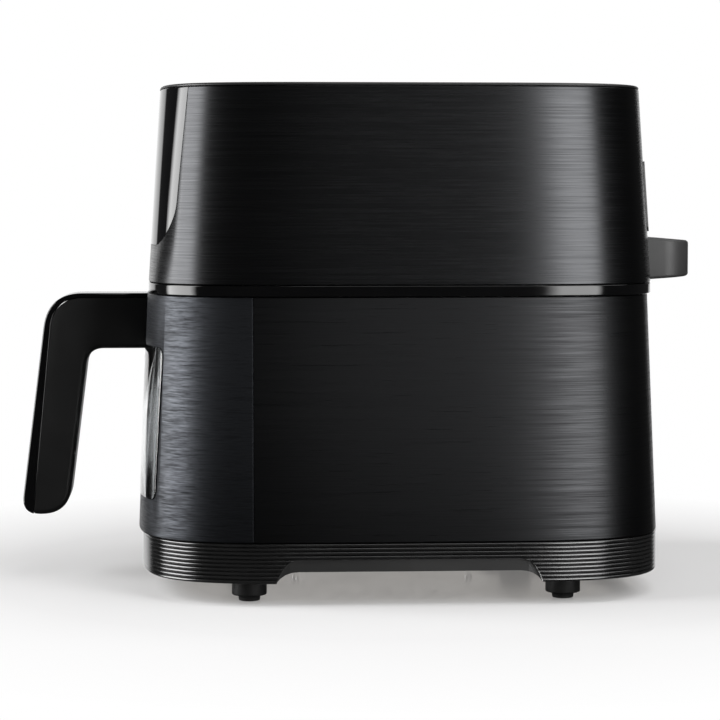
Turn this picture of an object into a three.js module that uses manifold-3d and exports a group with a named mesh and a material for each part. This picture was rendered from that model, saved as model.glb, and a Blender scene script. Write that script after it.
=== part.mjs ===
// A drawer-type air fryer: a tapered body on a ribbed plinth, a windowed drawer that slides out of the
// lower half, and a head that holds the heater, the fans, their motor and the electronics.
// Millimetres, +Z up, the drawer opens towards -Y. Every shell shares one plan curve, a superellipse.
import * as THREE from "three";
import { mergeVertices } from "three/addons/utils/BufferGeometryUtils.js";
import Module from "manifold-3d";

const wasm = await Module();
wasm.setup();

// ---- Driving sizes -------------------------------------------------------------------------------
const gap = 0.3; // between pieces that touch
const baseHalfDepth = 160.4; // plan of the plinth, front to back
const baseHalfWidth = 147.4; // plan of the plinth, side to side
const planPower = 4.7; // exponent of the plan curve: higher is squarer
const planSteps = 40; // points round the plan curve
const wall = 2.4; // moulded and sheet outer shells

const footHeight = 13.6;
const footRadius = 10.8;
const footTipRadius = 6.5;
const footTipHeight = 3.6;
const footSideInset = 29.4; // foot centres from the plinth's sides
const footEndInset = 65.4; // foot centres from its front and rear

const plinthHeight = 24;
const skirtWall = 3.5; // with its ribs
const archEndInset = 81; // from the plinth's front and rear to the opening in each side
const archCorner = 13.5;
const skirtArchRise = 14.4;
const trayArchRise = 6.7;

const lowerHeight = 146; // plinth to trim band
const lowerDraft = 6.1; // how much the half-depth shrinks over that height
const bandHeight = 6.4;
const bandInset = 4.2; // of the band and the head's foot from the plinth's plan
const headHeight = 118;
const headDraft = 7.6;
const topThickness = 2;
const topEdge = 1.6; // bevel round the top cover

const seamBack = 67.6; // the drawer front wraps this far back from the plinth's front
const frontProud = 2.5; // the drawer front bulges past the shell by this much
const windowInset = 35.4; // window's side edges from the plinth's half-width
const windowFloor = 22; // window's lower edge above the plinth
const windowHead = 31.5; // window's upper edge below the band
const windowCorner = 6;
const paneThickness = 3;
const paneProud = 0.5;

const panelInset = 32.4; // panel's side edges from the plinth's half-width
const panelFloor = 23; // control panel's lower edge above the head's foot
const panelCorner = 26;

const grilleHalf = 88;
const grilleFloor = 31;
const louvrePitch = 8.7;
const louvreCount = 5;
const louvreBar = 3.4;
const grilleProud = 0.9;

const spacerHalf = 72;
const spacerReach = 26;
const spacerHeight = 27;
const spacerCorner = 18;
const spacerTaper = 0.16; // share of its height lost at the outer face

const handleHalf = 17;
const handleReach = 64; // drawer front to the handle's outer face, at the arm
const handleDrop = 141.3;
const handleTopDrop = 2; // arm's top below the drawer front's top
const armHeight = 35.2;
const gripThickness = 30;
const gripLean = 0.126; // outward slope of the grip, mm per mm of drop
const handleRound = 5; // bevel along the handle's long edges
const handleBend = 22; // from the arm's top to the grip's outer face
const gripCorner = 10; // in the crook of arm and grip
const toeRound = 11; // grip's outer lower corner
const coverThickness = 4; // glossy cover, at the top of the grip
const coverTopThickness = 3.2; // the same, over the arm
const coverFlare = 0.03; // thickness that the cover gains, mm per mm of drop
const handleScrewRadius = 2;

const panInset = 28.4; // pan's side from the plinth's half-width
const panFrontInset = 20; // pan's front from the plinth's half-depth
const panRearInset = 42;
const panWall = 1.6;
const panCornerLeast = 24; // least corner radius of the pan and of the lining round it
const panFloorRise = 9.4; // pan's underside above the plinth
const panHeadroom = 11.4; // pan's rim below the band
const rimWidth = 5;
const panWindowInset = 37; // pan's glass from the pan's side
const panWindowBorder = 20; // pan's glass from the pan's floor and rim
const glassThickness = 3;

const liningWall = 1.2;
const liningSideGap = 1.5; // pan's rim to the lining
const liningRearGap = 6;
const liningRise = 4.4; // lining's underside above the plinth
const railHeight = 5;
const frameThickness = 2.5;

const plateRise = 9.4; // crisper plate above the pan's floor
const plateThickness = 1.6;
const plateGap = 4; // crisper plate to the pan's walls
const plateHoleRadius = 4.5;
const plateHolePitch = 34;
const bumperRadius = 5;

const domeInset = 15; // dome's wall from the pan's side
const domeHeight = 22;
const guardDrop = 7; // guard below the dome's plate
const guardBar = 2;
const coilInset = 16; // coil's outer turn from the dome's wall
const coilPitch = 17;
const coilTurns = 1.88;
const leadX = 12; // where the coil's ends pass up through the dome
const leadPlay = 2.5; // round the coil's ends in the dome
const coilTube = 3.3;
const shaftRadius = 3;
const shaftPlay = 0.15;
const fanInset = 26; // fan's tips from the coil's outer turn
const fanHeight = 9;
const bladeCount = 8;
const coolerInset = 6; // upper fan's tips from the lower one's
const coolerHeight = 12;
const motorRadius = 34;
const motorHeight = 34;
const motorWall = 3;
const rotorRadius = 19;
const bearingRadius = 8;
const bridgeThickness = 2;

// ---- Places worked out from them -----------------------------------------------------------------
const footAcross = baseHalfWidth - footSideInset;
const footAlong = baseHalfDepth - footEndInset;
const archHalf = baseHalfDepth - archEndInset;
const windowHalf = baseHalfWidth - windowInset;
const panelHalf = baseHalfWidth - panelInset;
const heelRound = gripThickness - toeRound - 2; // grip's inner lower corner
const plinthTop = footHeight + plinthHeight;
const bandBottom = plinthTop + lowerHeight;
const bandTop = bandBottom + bandHeight;
const headTop = bandTop + headHeight;
const seamY = seamBack - baseHalfDepth;
const trayInset = skirtWall + gap;

// ---- Solids --------------------------------------------------------------------------------------
function solid(geometry) {
  const plain = geometry.index ? geometry.toNonIndexed() : geometry;
  const bare = new THREE.BufferGeometry().setAttribute("position", plain.getAttribute("position"));
  const merged = mergeVertices(bare, 1e-4);
  const mesh = new wasm.Mesh({
    numProp: 3,
    vertProperties: merged.attributes.position.array,
    triVerts: new Uint32Array(merged.index.array),
  });
  return new wasm.Manifold(mesh);
}

function geometryOf(body) {
  const mesh = body.getMesh();
  const place = new Float32Array(mesh.numVert * 3);
  for (let i = 0; i < mesh.numVert; i++) {
    place.set(mesh.vertProperties.subarray(i * mesh.numProp, i * mesh.numProp + 3), i * 3);
  }
  return new THREE.BufferGeometry()
    .setAttribute("position", new THREE.BufferAttribute(place, 3))
    .setIndex(new THREE.BufferAttribute(new Uint32Array(mesh.triVerts), 1));
}

const union = (...bodies) => bodies.reduce((whole, body) => whole.add(body));
const cut = (body, ...tools) => tools.reduce((left, tool) => left.subtract(tool), body);

function block(x0, x1, y0, y1, z0, z1) {
  const box = new THREE.BoxGeometry(x1 - x0, y1 - y0, z1 - z0);
  return solid(box.translate((x0 + x1) / 2, (y0 + y1) / 2, (z0 + z1) / 2));
}

function upright(radius, z0, z1, x = 0, y = 0, sides = 12) {
  const pillar = new THREE.CylinderGeometry(radius, radius, z1 - z0, sides);
  return solid(pillar.rotateX(Math.PI / 2).translate(x, y, (z0 + z1) / 2));
}

function lying(radius, y0, y1, x, z, sides = 12) {
  const bar = new THREE.CylinderGeometry(radius, radius, y1 - y0, sides);
  return solid(bar.translate(x, (y0 + y1) / 2, z));
}

// Turns an outline of [radius, height] pairs, listed anticlockwise, round the Z axis.
function turned(outline, sides = 24) {
  const points = outline.map(([radius, height]) => new THREE.Vector2(radius, height));
  return solid(new THREE.LatheGeometry(points, sides).rotateX(Math.PI / 2));
}

function extruded(shape, depth, curveSegments = 4) {
  return new THREE.ExtrudeGeometry(shape, { depth, bevelEnabled: false, curveSegments });
}

// A shape drawn in X and Y, raised from z0 to z1.
const raised = (shape, z0, z1, curveSegments) =>
  solid(extruded(shape, z1 - z0, curveSegments).translate(0, 0, z0));

// A shape drawn in X and Z, run along Y from y0 to y1.
const runAlongY = (shape, y0, y1) =>
  solid(extruded(shape, y1 - y0).rotateX(Math.PI / 2).translate(0, y1, 0));

// A shape drawn in Y and Z, run along X from x0 to x1.
const yzToWorld = new THREE.Matrix4().set(0, 0, 1, 0, 1, 0, 0, 0, 0, 1, 0, 0, 0, 0, 0, 1);
const runAlongX = (shape, x0, x1) =>
  solid(extruded(shape, x1 - x0).applyMatrix4(yzToWorld).translate(x0, 0, 0));

function roundedBox(x0, x1, y0, y1, radius) {
  const shape = new THREE.Shape();
  shape.moveTo(x0 + radius, y0);
  shape.lineTo(x1 - radius, y0);
  shape.absarc(x1 - radius, y0 + radius, radius, -Math.PI / 2, 0);
  shape.lineTo(x1, y1 - radius);
  shape.absarc(x1 - radius, y1 - radius, radius, 0, Math.PI / 2);
  shape.lineTo(x0 + radius, y1);
  shape.absarc(x0 + radius, y1 - radius, radius, Math.PI / 2, Math.PI);
  shape.lineTo(x0, y0 + radius);
  shape.absarc(x0 + radius, y0 + radius, radius, Math.PI, 1.5 * Math.PI);
  return shape;
}

// ---- The plan curve and what is lofted on it -----------------------------------------------------
// A power that keeps the sign, for the superellipse.
const signedPower = (value, power) => Math.sign(value) * Math.abs(value) ** power;

function planRing(z, inset, frontExtra = 0) {
  const halfWidth = baseHalfWidth - inset;
  const ring = [];
  for (let step = 0; step < planSteps; step++) {
    const turn = (2 * Math.PI * step) / planSteps;
    const along = Math.sin(turn);
    const halfDepth = baseHalfDepth - inset + (along < 0 ? frontExtra : 0);
    const x = halfWidth * signedPower(Math.cos(turn), 2 / planPower);
    const y = halfDepth * signedPower(along, 2 / planPower);
    ring.push(new THREE.Vector3(x, y, z));
  }
  return ring;
}

// The least corner radius at which a box with rounded corners, `half` wide and `end` long each way,
// stays `play` within the plan curve drawn in by `inset`.
function cornerWithin(half, end, inset, play, frontExtra = 0) {
  const halfWidth = baseHalfWidth - inset - play;
  const halfDepth = baseHalfDepth - inset + frontExtra - play;
  const crosses = (radius) =>
    [1, 2, 3, 4, 5].some((step) => {
      const turn = (step * Math.PI) / 12;
      const x = half - radius * (1 - Math.cos(turn));
      const y = end - radius * (1 - Math.sin(turn));
      return (x / halfWidth) ** planPower + (y / halfDepth) ** planPower > 1;
    });
  let radius = panWall;
  while (crosses(radius) && radius < half) radius += 0.5;
  return radius;
}

// Joins rings of equal count into one closed skin. A capped loft closes its first and last ring with
// flat ends, and any other runs on from the last ring to the first.
function loft(rings, capped) {
  const corners = [];
  const count = rings[0].length;
  const spans = capped ? rings.length - 1 : rings.length;
  for (let i = 0; i < spans; i++) {
    const low = rings[i];
    const high = rings[(i + 1) % rings.length];
    for (let j = 0; j < count; j++) {
      const k = (j + 1) % count;
      corners.push(low[j], low[k], high[k], low[j], high[k], high[j]);
    }
  }
  if (capped) {
    const last = rings[rings.length - 1];
    for (let j = 1; j < count - 1; j++) {
      corners.push(rings[0][0], rings[0][j + 1], rings[0][j], last[0], last[j], last[j + 1]);
    }
  }
  return solid(new THREE.BufferGeometry().setFromPoints(corners));
}

// How far the plan has drawn in at a height: the lower body's draft, then the head's.
const lowerInset = (z) => (lowerDraft * (z - plinthTop)) / lowerHeight;
const headInset = (z) => bandInset + (headDraft * (z - bandTop)) / headHeight;

// A drafted shell with the wall's two faces `outside` and `inside` in from the surface.
function shell(z0, z1, draft, outside, inside, frontExtra = 0) {
  return loft(
    [
      planRing(z0, draft(z0) + outside, frontExtra),
      planRing(z1, draft(z1) + outside, frontExtra),
      planRing(z1, draft(z1) + inside, frontExtra),
      planRing(z0, draft(z0) + inside, frontExtra),
    ],
    false,
  );
}

// The same, filled.
function core(z0, z1, draft, outside, frontExtra = 0) {
  const low = planRing(z0, draft(z0) + outside, frontExtra);
  return loft([low, planRing(z1, draft(z1) + outside, frontExtra)], true);
}

// ---- Base: feet, ribbed plinth, tray and vented plate --------------------------------------------
const far = 1000; // longer than any cut needs

function archCutter(rise) {
  const shape = new THREE.Shape();
  shape.moveTo(-archHalf, footHeight - rise);
  shape.lineTo(archHalf, footHeight - rise);
  shape.lineTo(archHalf, footHeight);
  const head = footHeight + rise;
  const bend = archHalf - archCorner / 3; // where the corner's curve turns
  shape.quadraticCurveTo(bend, head, archHalf - archCorner, head);
  shape.lineTo(archCorner - archHalf, head);
  shape.quadraticCurveTo(-bend, head, -archHalf, footHeight);
  return runAlongX(shape, -far, far);
}

// The skirt's outer face lies on the crests of its fine horizontal ribs.
const plinthSkirt = () =>
  cut(shell(footHeight, plinthTop, () => 0, 0, skirtWall), archCutter(skirtArchRise));

const trayFloor = plinthTop - gap - wall;
const plateUnder = footHeight + trayArchRise + 0.7;
const basePlateThickness = 1.2;
const baseScrewRadius = 1.5;
const screwPlay = 0.4;
const bossRadius = 4.5;
const baseScrewX = footAcross - 18;
const baseScrewY = footAlong - 35;
const corners = [
  ["front_left", -1, -1],
  ["front_right", 1, -1],
  ["rear_left", -1, 1],
  ["rear_right", 1, 1],
];

function baseTray() {
  const rim = shell(footHeight, plinthTop - gap, () => 0, trayInset, trayInset + wall);
  const floor = core(trayFloor, plinthTop - gap, () => 0, trayInset + wall / 2);
  let tray = union(cut(rim, archCutter(trayArchRise)), floor);
  for (const [, side, end] of corners) {
    const pad = upright(footRadius, footHeight, trayFloor + wall / 2, side * footAcross, end * footAlong);
    const x = side * baseScrewX;
    const y = end * baseScrewY;
    const boss = upright(bossRadius, plateUnder + basePlateThickness + gap, trayFloor + wall / 2, x, y);
    const bore = upright(baseScrewRadius + screwPlay, 0, trayFloor - gap, x, y);
    tray = cut(union(tray, pad, boss), bore);
  }
  return tray;
}

const ventSide = 5.4;
const ventPitch = 15.2;
const ventRowPitch = 18;
const ventField = 52;

function basePlate() {
  const top = plateUnder + basePlateThickness;
  const edge = planRing(0, trayInset + wall + gap);
  const outline = new THREE.Shape(edge.map((corner) => new THREE.Vector2(corner.x, corner.y)));
  const holes = [];
  for (const [, side, end] of corners) {
    holes.push(upright(footRadius + screwPlay, 0, far, side * footAcross, end * footAlong));
    holes.push(upright(baseScrewRadius + screwPlay, 0, far, side * baseScrewX, end * baseScrewY, 12));
  }
  for (let row = -2; row <= 2; row++) {
    const shift = row % 2 === 0 ? 0 : 0.5;
    for (let column = -4; column <= 3; column++) {
      const x = row * ventRowPitch;
      const y = (column + shift) * ventPitch;
      if (Math.hypot(x, y) > ventField || Math.hypot(x, y) < ventPitch / 2) continue;
      const h = ventSide / 2;
      holes.push(block(x - h, x + h, y - h, y + h, 0, far));
    }
  }
  return cut(raised(outline, plateUnder, top), ...holes);
}

function baseScrew(side, end) {
  const x = side * baseScrewX;
  const y = end * baseScrewY;
  const head = upright(2 * baseScrewRadius, plateUnder - gap - 2, plateUnder - gap, x, y);
  return union(head, upright(baseScrewRadius, plateUnder - 2 * gap, trayFloor - 2 * gap, x, y));
}

const foot = () =>
  turned(
    [
      [0, 0],
      [footTipRadius, 0],
      [footTipRadius, footTipHeight],
      [footRadius, footTipHeight],
      [footRadius, footHeight - gap],
      [0, footHeight - gap],
    ],
    14,
  );

// ---- Lower body: outer shell, lining, rails and the drawer's catches ------------------------------
const panHalf = baseHalfWidth - panInset;
const panFront = panFrontInset - baseHalfDepth;
const panRear = baseHalfDepth - panRearInset;
const panBottom = plinthTop + panFloorRise;
const domeRadius = panHalf - domeInset;
const coilRadius = domeRadius - coilInset;
const leadY = coilRadius - 4;
const fanRadius = coilRadius - fanInset;
const coolerRadius = fanRadius - coolerInset;
const panWindowHalf = panHalf - panWindowInset;
const panTop = bandBottom - panHeadroom;
const liningHalf = panHalf + rimWidth + liningSideGap + liningWall;
const liningRear = panRear + liningRearGap + liningWall;
const liningFront = seamY + frameThickness;
const liningBottom = plinthTop + liningRise;
const deckThickness = 2.7;
const liningTop = bandTop - deckThickness - 2 * gap;
const railTop = panTop - panWall - gap;
// The pan's rim keeps clear of the drawer front, and the lining of the trim band's inner face.
const cornerPlay = 2 * gap;
const rimInset = lowerInset(panTop) + wall;
const rimCorner = cornerWithin(panHalf + rimWidth, rimWidth - panFront, rimInset, cornerPlay, frontProud);
const liningCorner = cornerWithin(liningHalf, liningRear, bandInset + 3 * wall, cornerPlay);
const panCorner = Math.max(panCornerLeast, rimCorner - rimWidth, liningCorner);

const cordHoleRadius = 6.5;
const cordHoleX = -70;
const cordHoleZ = plinthTop + 18;

function lowerShell() {
  const whole = shell(plinthTop + gap, bandBottom - gap, lowerInset, 0, wall);
  const front = block(-far, far, -far, seamY + gap, 0, bandTop);
  return cut(whole, front, lying(cordHoleRadius, 0, far, cordHoleX, cordHoleZ));
}

// A hollow moulding that the mains lead would leave through; the lead itself isn't part of the model.
function cordGland() {
  const reach = 9;
  const face = baseHalfDepth - lowerInset(cordHoleZ);
  const body = lying(cordHoleRadius - gap, face - reach, face + reach, cordHoleX, cordHoleZ);
  const flange = lying(cordHoleRadius + 3, face + 1, face + 4, cordHoleX, cordHoleZ);
  return cut(union(body, flange), lying(cordHoleRadius / 2, 0, far, cordHoleX, cordHoleZ));
}

const switchX = -60;
const switchZ = plinthTop + 75;
const plungerRadius = 2;
const switchDepth = 14;

function chamberLining() {
  const tub = roundedBox(-liningHalf, liningHalf, liningFront - panCorner, liningRear, panCorner);
  const inner = roundedBox(
    liningWall - liningHalf,
    liningHalf - liningWall,
    liningFront - panCorner + liningWall,
    liningRear - liningWall,
    panCorner - liningWall,
  );
  const outside = raised(tub, liningBottom, liningTop, 5);
  const hollow = raised(inner, liningBottom + liningWall, bandTop, 5);
  const mouth = block(-far, far, -far, liningFront, 0, far);
  // The flange at the mouth closes the space between the lining and the outer shell.
  const reach = wall + 2 * gap;
  const flange = cut(
    core(plinthTop + 3, bandBottom - gap, lowerInset, reach),
    block(-far, far, -far, liningFront, 0, far),
    block(-far, far, liningFront + 1.5, far, 0, far),
    block(liningWall - liningHalf, liningHalf - liningWall, -far, far, liningBottom + liningWall, far),
  );
  const plungerHole = lying(plungerRadius + screwPlay, panRear, far, switchX, switchZ);
  return cut(union(cut(outside, hollow, mouth), flange), plungerHole);
}

function rail(side) {
  const inner = liningHalf - liningWall - gap;
  const lip = panHalf + 1.5;
  const y0 = liningFront + 4;
  const y1 = liningRear - panCorner;
  const shelf = block(lip, inner, y0, y1, railTop - 1.5, railTop);
  const web = block(inner - 1.5, inner, y0, y1, railTop - railHeight, railTop - 1);
  const both = union(shelf, web);
  return side < 0 ? both.mirror([1, 0, 0]) : both;
}

// A bent leaf above each side of the pan's rim, whose nose holds the closed drawer.
function catchSpring(side) {
  const x0 = panHalf + 0.5;
  const y0 = liningFront + 12;
  const leaf = 1;
  const shape = new THREE.Shape();
  shape.moveTo(y0, panTop + 7);
  shape.lineTo(y0 + 12, panTop + 0.8);
  shape.lineTo(y0 + 24, panTop + 7);
  shape.lineTo(y0 + 34, panTop + 7);
  shape.lineTo(y0 + 34, panTop + 7 + leaf);
  shape.lineTo(y0 + 23.7, panTop + 7 + leaf);
  shape.lineTo(y0 + 12, panTop + 0.8 + 1.2 * leaf);
  shape.lineTo(y0 + 0.3, panTop + 7 + leaf);
  const spring = runAlongX(shape, x0, x0 + rimWidth);
  return side < 0 ? spring.mirror([1, 0, 0]) : spring;
}

function microSwitch() {
  const y0 = liningRear + gap;
  const body = block(switchX - 10, switchX + 10, y0, y0 + switchDepth, switchZ - 8, switchZ + 8);
  return cut(body, lying(plungerRadius + screwPlay, y0 - 1, y0 + switchDepth - 2, switchX, switchZ));
}

function switchPlunger() {
  return lying(plungerRadius, panRear + 2 * gap, liningRear + switchDepth - 5, switchX, switchZ);
}

// ---- Drawer --------------------------------------------------------------------------------------
const windowBottom = plinthTop + windowFloor;
const windowTop = bandBottom - windowHead;

// What lies forward of the seam, with the window's outline grown or shrunk by `grow`.
function windowCutter(grow) {
  const half = windowHalf + grow;
  const outline = roundedBox(-half, half, windowBottom - grow, windowTop + grow, windowCorner + grow);
  return runAlongY(outline, -far, seamY - 2 * wall);
}

const armTop = bandBottom - gap - handleTopDrop;
const armBottom = armTop - armHeight;
const handleScrewHeights = [armBottom + armHeight * 0.3, armTop - armHeight * 0.25];
const handleScrewDepth = 18;
const frontAt = (z) => -(baseHalfDepth + frontProud - lowerInset(z));

function drawerFront() {
  const whole = shell(plinthTop + gap, bandBottom - gap, lowerInset, 0, wall, frontProud);
  const behind = block(-far, far, seamY, far, 0, far);
  const bores = handleScrewHeights.map((z) => lying(handleScrewRadius + screwPlay, -far, panFront, 0, z));
  return cut(whole, behind, windowCutter(0), ...bores);
}

function windowPane() {
  const skin = shell(plinthTop, bandBottom, lowerInset, -paneProud, paneThickness, frontProud);
  return skin.intersect(windowCutter(-gap));
}

// The flat frame that closes the drawer front's back and carries the pan.
function frontFrame() {
  const edge = wall + gap;
  const slab = core(plinthTop + 3, bandBottom - 3, lowerInset, edge, frontProud);
  const ahead = block(-far, far, -far, seamY - frameThickness, 0, far);
  const behind = block(-far, far, seamY - gap, far, 0, far);
  const side = panHalf + rimWidth + gap;
  const opening = block(-side, side, -far, far, panBottom - gap, panTop + gap);
  return cut(slab, ahead, behind, opening);
}

const panOutline = (grow) =>
  roundedBox(-panHalf - grow, panHalf + grow, panFront - grow, panRear + grow, panCorner + grow);
const panWindowBottom = panBottom + panWindowBorder;
const panWindowTop = panTop - panWindowBorder;
const panWindowCorner = 8;
function panWindowShape(grow) {
  const half = panWindowHalf + grow;
  return roundedBox(-half, half, panWindowBottom - grow, panWindowTop + grow, panWindowCorner + grow);
}

function drawerPan() {
  const outside = raised(panOutline(0), panBottom, panTop, 5);
  const rim = raised(panOutline(rimWidth), panTop - panWall, panTop, 5);
  const hollow = raised(panOutline(-panWall), panBottom + panWall, far, 5);
  const opening = runAlongY(panWindowShape(0), panFront - 1, panFront + panWall + 1);
  return cut(union(outside, rim), hollow, opening);
}

const panGlass = () =>
  runAlongY(panWindowShape(-gap), panFront - glassThickness / 2, panFront + glassThickness / 2);

// The grip leans outwards as it goes down, and its glossy cover gets thicker.
const outerAt = (z) => frontAt(armTop) - handleReach - gripLean * (armTop - z);
const innerAt = (z) => outerAt(z) + gripThickness;
const coverAt = (z) => outerAt(z) + coverThickness + coverFlare * (armTop - z);

function handleBlank() {
  const bottom = armTop - handleDrop;
  const root = frontAt(armTop) + handleRound + 1;
  const shape = new THREE.Shape();
  shape.moveTo(root, armTop);
  shape.lineTo(outerAt(armTop) + handleBend, armTop);
  shape.quadraticCurveTo(outerAt(armTop), armTop, outerAt(armTop - handleBend), armTop - handleBend);
  shape.lineTo(outerAt(bottom + toeRound), bottom + toeRound);
  shape.quadraticCurveTo(outerAt(bottom), bottom, outerAt(bottom) + toeRound, bottom);
  shape.lineTo(innerAt(bottom) - heelRound, bottom);
  shape.quadraticCurveTo(innerAt(bottom), bottom, innerAt(bottom + heelRound), bottom + heelRound);
  shape.lineTo(innerAt(armBottom - gripCorner), armBottom - gripCorner);
  shape.quadraticCurveTo(innerAt(armBottom), armBottom, innerAt(armBottom) + gripCorner, armBottom);
  shape.lineTo(root, armBottom);
  const blank = new THREE.ExtrudeGeometry(shape, {
    depth: 2 * (handleHalf - handleRound),
    bevelEnabled: true,
    bevelThickness: handleRound,
    bevelSize: handleRound,
    bevelOffset: -handleRound,
    bevelSegments: 2,
    curveSegments: 4,
  });
  blank.applyMatrix4(yzToWorld).translate(handleRound - handleHalf, 0, 0);
  return cut(solid(blank), core(plinthTop, bandTop, lowerInset, -paneProud - gap, frontProud));
}

// All that lies inwards of the seam between the grip and its cover, or of that seam moved out by `shift`.
function gripSide(shift) {
  const top = armTop - coverTopThickness + shift;
  const bend = handleBend - coverTopThickness;
  const shape = new THREE.Shape();
  shape.moveTo(0, 0);
  shape.lineTo(0, top);
  shape.lineTo(coverAt(top) - shift + bend, top);
  shape.quadraticCurveTo(coverAt(top) - shift, top, coverAt(top - bend) - shift, top - bend);
  shape.lineTo(coverAt(0) - shift, 0);
  return runAlongX(shape, -2 * handleHalf, 2 * handleHalf);
}

function handleGrip() {
  const bores = handleScrewHeights.map((z) =>
    lying(handleScrewRadius + screwPlay, frontAt(z) - handleScrewDepth, 0, 0, z),
  );
  return cut(handleBlank().intersect(gripSide(0)), ...bores);
}

const handleCover = () => cut(handleBlank(), gripSide(gap));

function handleScrew(z) {
  const seat = frontAt(z) + wall + gap;
  const head = lying(2 * handleScrewRadius, seat, seat + 2.5, 0, z);
  return union(head, lying(handleScrewRadius, frontAt(z) - handleScrewDepth + 2, seat + 1, 0, z));
}

// ---- Crisper plate -------------------------------------------------------------------------------
const plateZ = panBottom + panWall + plateRise;

function crisperPlate() {
  const reachX = panHalf - panCorner / 2 - plateHolePitch / 2;
  const reachY = (panRear - panFront) / 2 - panCorner / 2 - plateHolePitch / 2;
  const middle = (panFront + panRear) / 2;
  const rowPitch = 0.8 * plateHolePitch;
  const rows = Math.floor(reachY / rowPitch);
  const holes = [];
  for (let row = -rows; row <= rows; row++) {
    const shift = row % 2 === 0 ? 0 : plateHolePitch / 2;
    const y = row * rowPitch;
    for (let x = shift - 5 * plateHolePitch; x <= reachX; x += plateHolePitch) {
      if (x < -reachX || Math.hypot(x, y) < plateHolePitch) continue;
      holes.push(upright(plateHoleRadius, 0, far, x, middle + y, 6));
    }
  }
  return cut(raised(panOutline(-panWall - plateGap), plateZ, plateZ + plateThickness, 5), ...holes);
}

// A wire loop on a small foot, for lifting the plate out.
const gripLoopRadius = 9;
const gripWire = 1.5;
function plateGrip() {
  const z0 = plateZ + plateThickness + gap;
  const middle = (panFront + panRear) / 2;
  const foot = upright(8, z0, z0 + gripWire, 0, middle);
  const hoop = new THREE.TorusGeometry(gripLoopRadius, gripWire, 6, 14).rotateY(Math.PI / 2);
  return union(foot, solid(hoop.translate(0, middle, z0 + gripLoopRadius + gripWire)));
}

function bumper(side, end) {
  const inset = panWall + plateGap + 14;
  const x = side * (panHalf - inset);
  const y = end < 0 ? panFront + inset : panRear - inset;
  return upright(bumperRadius, panBottom + panWall + gap, plateZ - gap, x, y);
}

// ---- Head: trim band, deck, housing, panel, cover -------------------------------------------------
const trimBand = () => shell(bandBottom, bandTop, () => bandInset, 0, 3 * wall);

// The deck parts the cooking chamber from the head. The dome and the lamp's lens look down through it.
const domeFloor = bandTop + gap;
const lensRadius = 11;
const lensBorder = 5; // lens to the lining's wall
const lensX = liningWall + lensRadius + lensBorder - liningHalf;
const holderHalf = 12;
const holderHeight = 22;
const lensRing = domeRadius + liningWall + Math.SQRT2 * holderHalf + gap; // clears the dome
const lensY = -Math.sqrt(lensRing ** 2 - lensX ** 2);
function deck() {
  const plate = core(bandTop - gap - deckThickness, bandTop - gap, () => bandInset, 3 * wall + gap);
  const domeHole = upright(domeRadius + 3 * liningWall, 0, far, 0, 0, 24);
  return cut(plate, domeHole, upright(lensRadius + gap, 0, far, lensX, lensY, 16));
}

const panelBottom = bandTop + panelFloor;
function panelCutter(grow) {
  const half = panelHalf + grow;
  return runAlongY(roundedBox(-half, half, panelBottom - grow, far, panelCorner + grow), -far, 0);
}

const grilleBottom = bandTop + grilleFloor;
const grilleHeight = louvreCount * louvrePitch;
const grilleCorner = 4;
function grilleCutter(grow) {
  const half = grilleHalf + grow;
  const top = grilleBottom + grilleHeight + grow;
  const outline = roundedBox(-half, half, grilleBottom - grow, top, grilleCorner + grow);
  return runAlongY(outline, baseHalfDepth / 2, far);
}

function headHousing() {
  const whole = shell(bandTop + gap, headTop, headInset, 0, wall);
  return cut(whole, panelCutter(0), grilleCutter(0));
}

function controlPanel() {
  return shell(bandTop + gap, headTop, headInset, 0, wall).intersect(panelCutter(-gap));
}

function topCover() {
  const base = headTop + gap;
  const top = headTop + topThickness;
  const inset = headInset(headTop);
  const lip = wall + gap;
  const plate = loft(
    [planRing(base, inset), planRing(top - topEdge / 2, inset), planRing(top, inset + topEdge)],
    true,
  );
  // A lip under the cover's edge drops inside the housing.
  const rings = [
    planRing(base - 4, inset + lip),
    planRing(base + 0.5, inset + lip),
    planRing(base + 0.5, inset + lip + wall),
    planRing(base - 4, inset + lip + wall),
  ];
  return union(plate, loft(rings, false));
}

function ventGrille() {
  const skin = shell(bandTop + gap, headTop, headInset, -grilleProud, wall).intersect(grilleCutter(-gap));
  const slot = louvrePitch - louvreBar;
  const slots = [];
  for (let k = 0; k < louvreCount; k++) {
    const z = grilleBottom + k * louvrePitch + louvreBar / 2 + 0.6;
    slots.push(block(6 - grilleHalf, grilleHalf - 6, 0, far, z, z + slot - 1.2));
  }
  return cut(skin, ...slots);
}

function rearSpacer() {
  const z0 = bandTop + 2 * gap;
  const root = baseHalfDepth - headInset(z0) - 6;
  const outer = root + 6 + spacerReach;
  const outline = roundedBox(-spacerHalf, spacerHalf, root - spacerCorner, outer, spacerCorner);
  const bar = extruded(outline, spacerHeight);
  const middle = spacerHeight / 2;
  const places = bar.getAttribute("position");
  for (let i = 0; i < places.count; i++) {
    const out = Math.max(0, (places.getY(i) - root) / (outer - root));
    places.setZ(i, middle + (places.getZ(i) - middle) * (1 - spacerTaper * out));
  }
  const body = solid(bar.translate(0, 0, z0));
  return cut(body, core(bandBottom, headTop, headInset, -gap), block(-far, far, -far, 0, 0, far));
}

// ---- Heater, fans and motor ----------------------------------------------------------------------
const domeTop = domeFloor + domeHeight;
const motorFloor = domeTop + 12 + coolerHeight + 10;
const shaftBottom = domeFloor + 3;
const shaftTop = motorFloor + motorHeight + 6;

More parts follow.
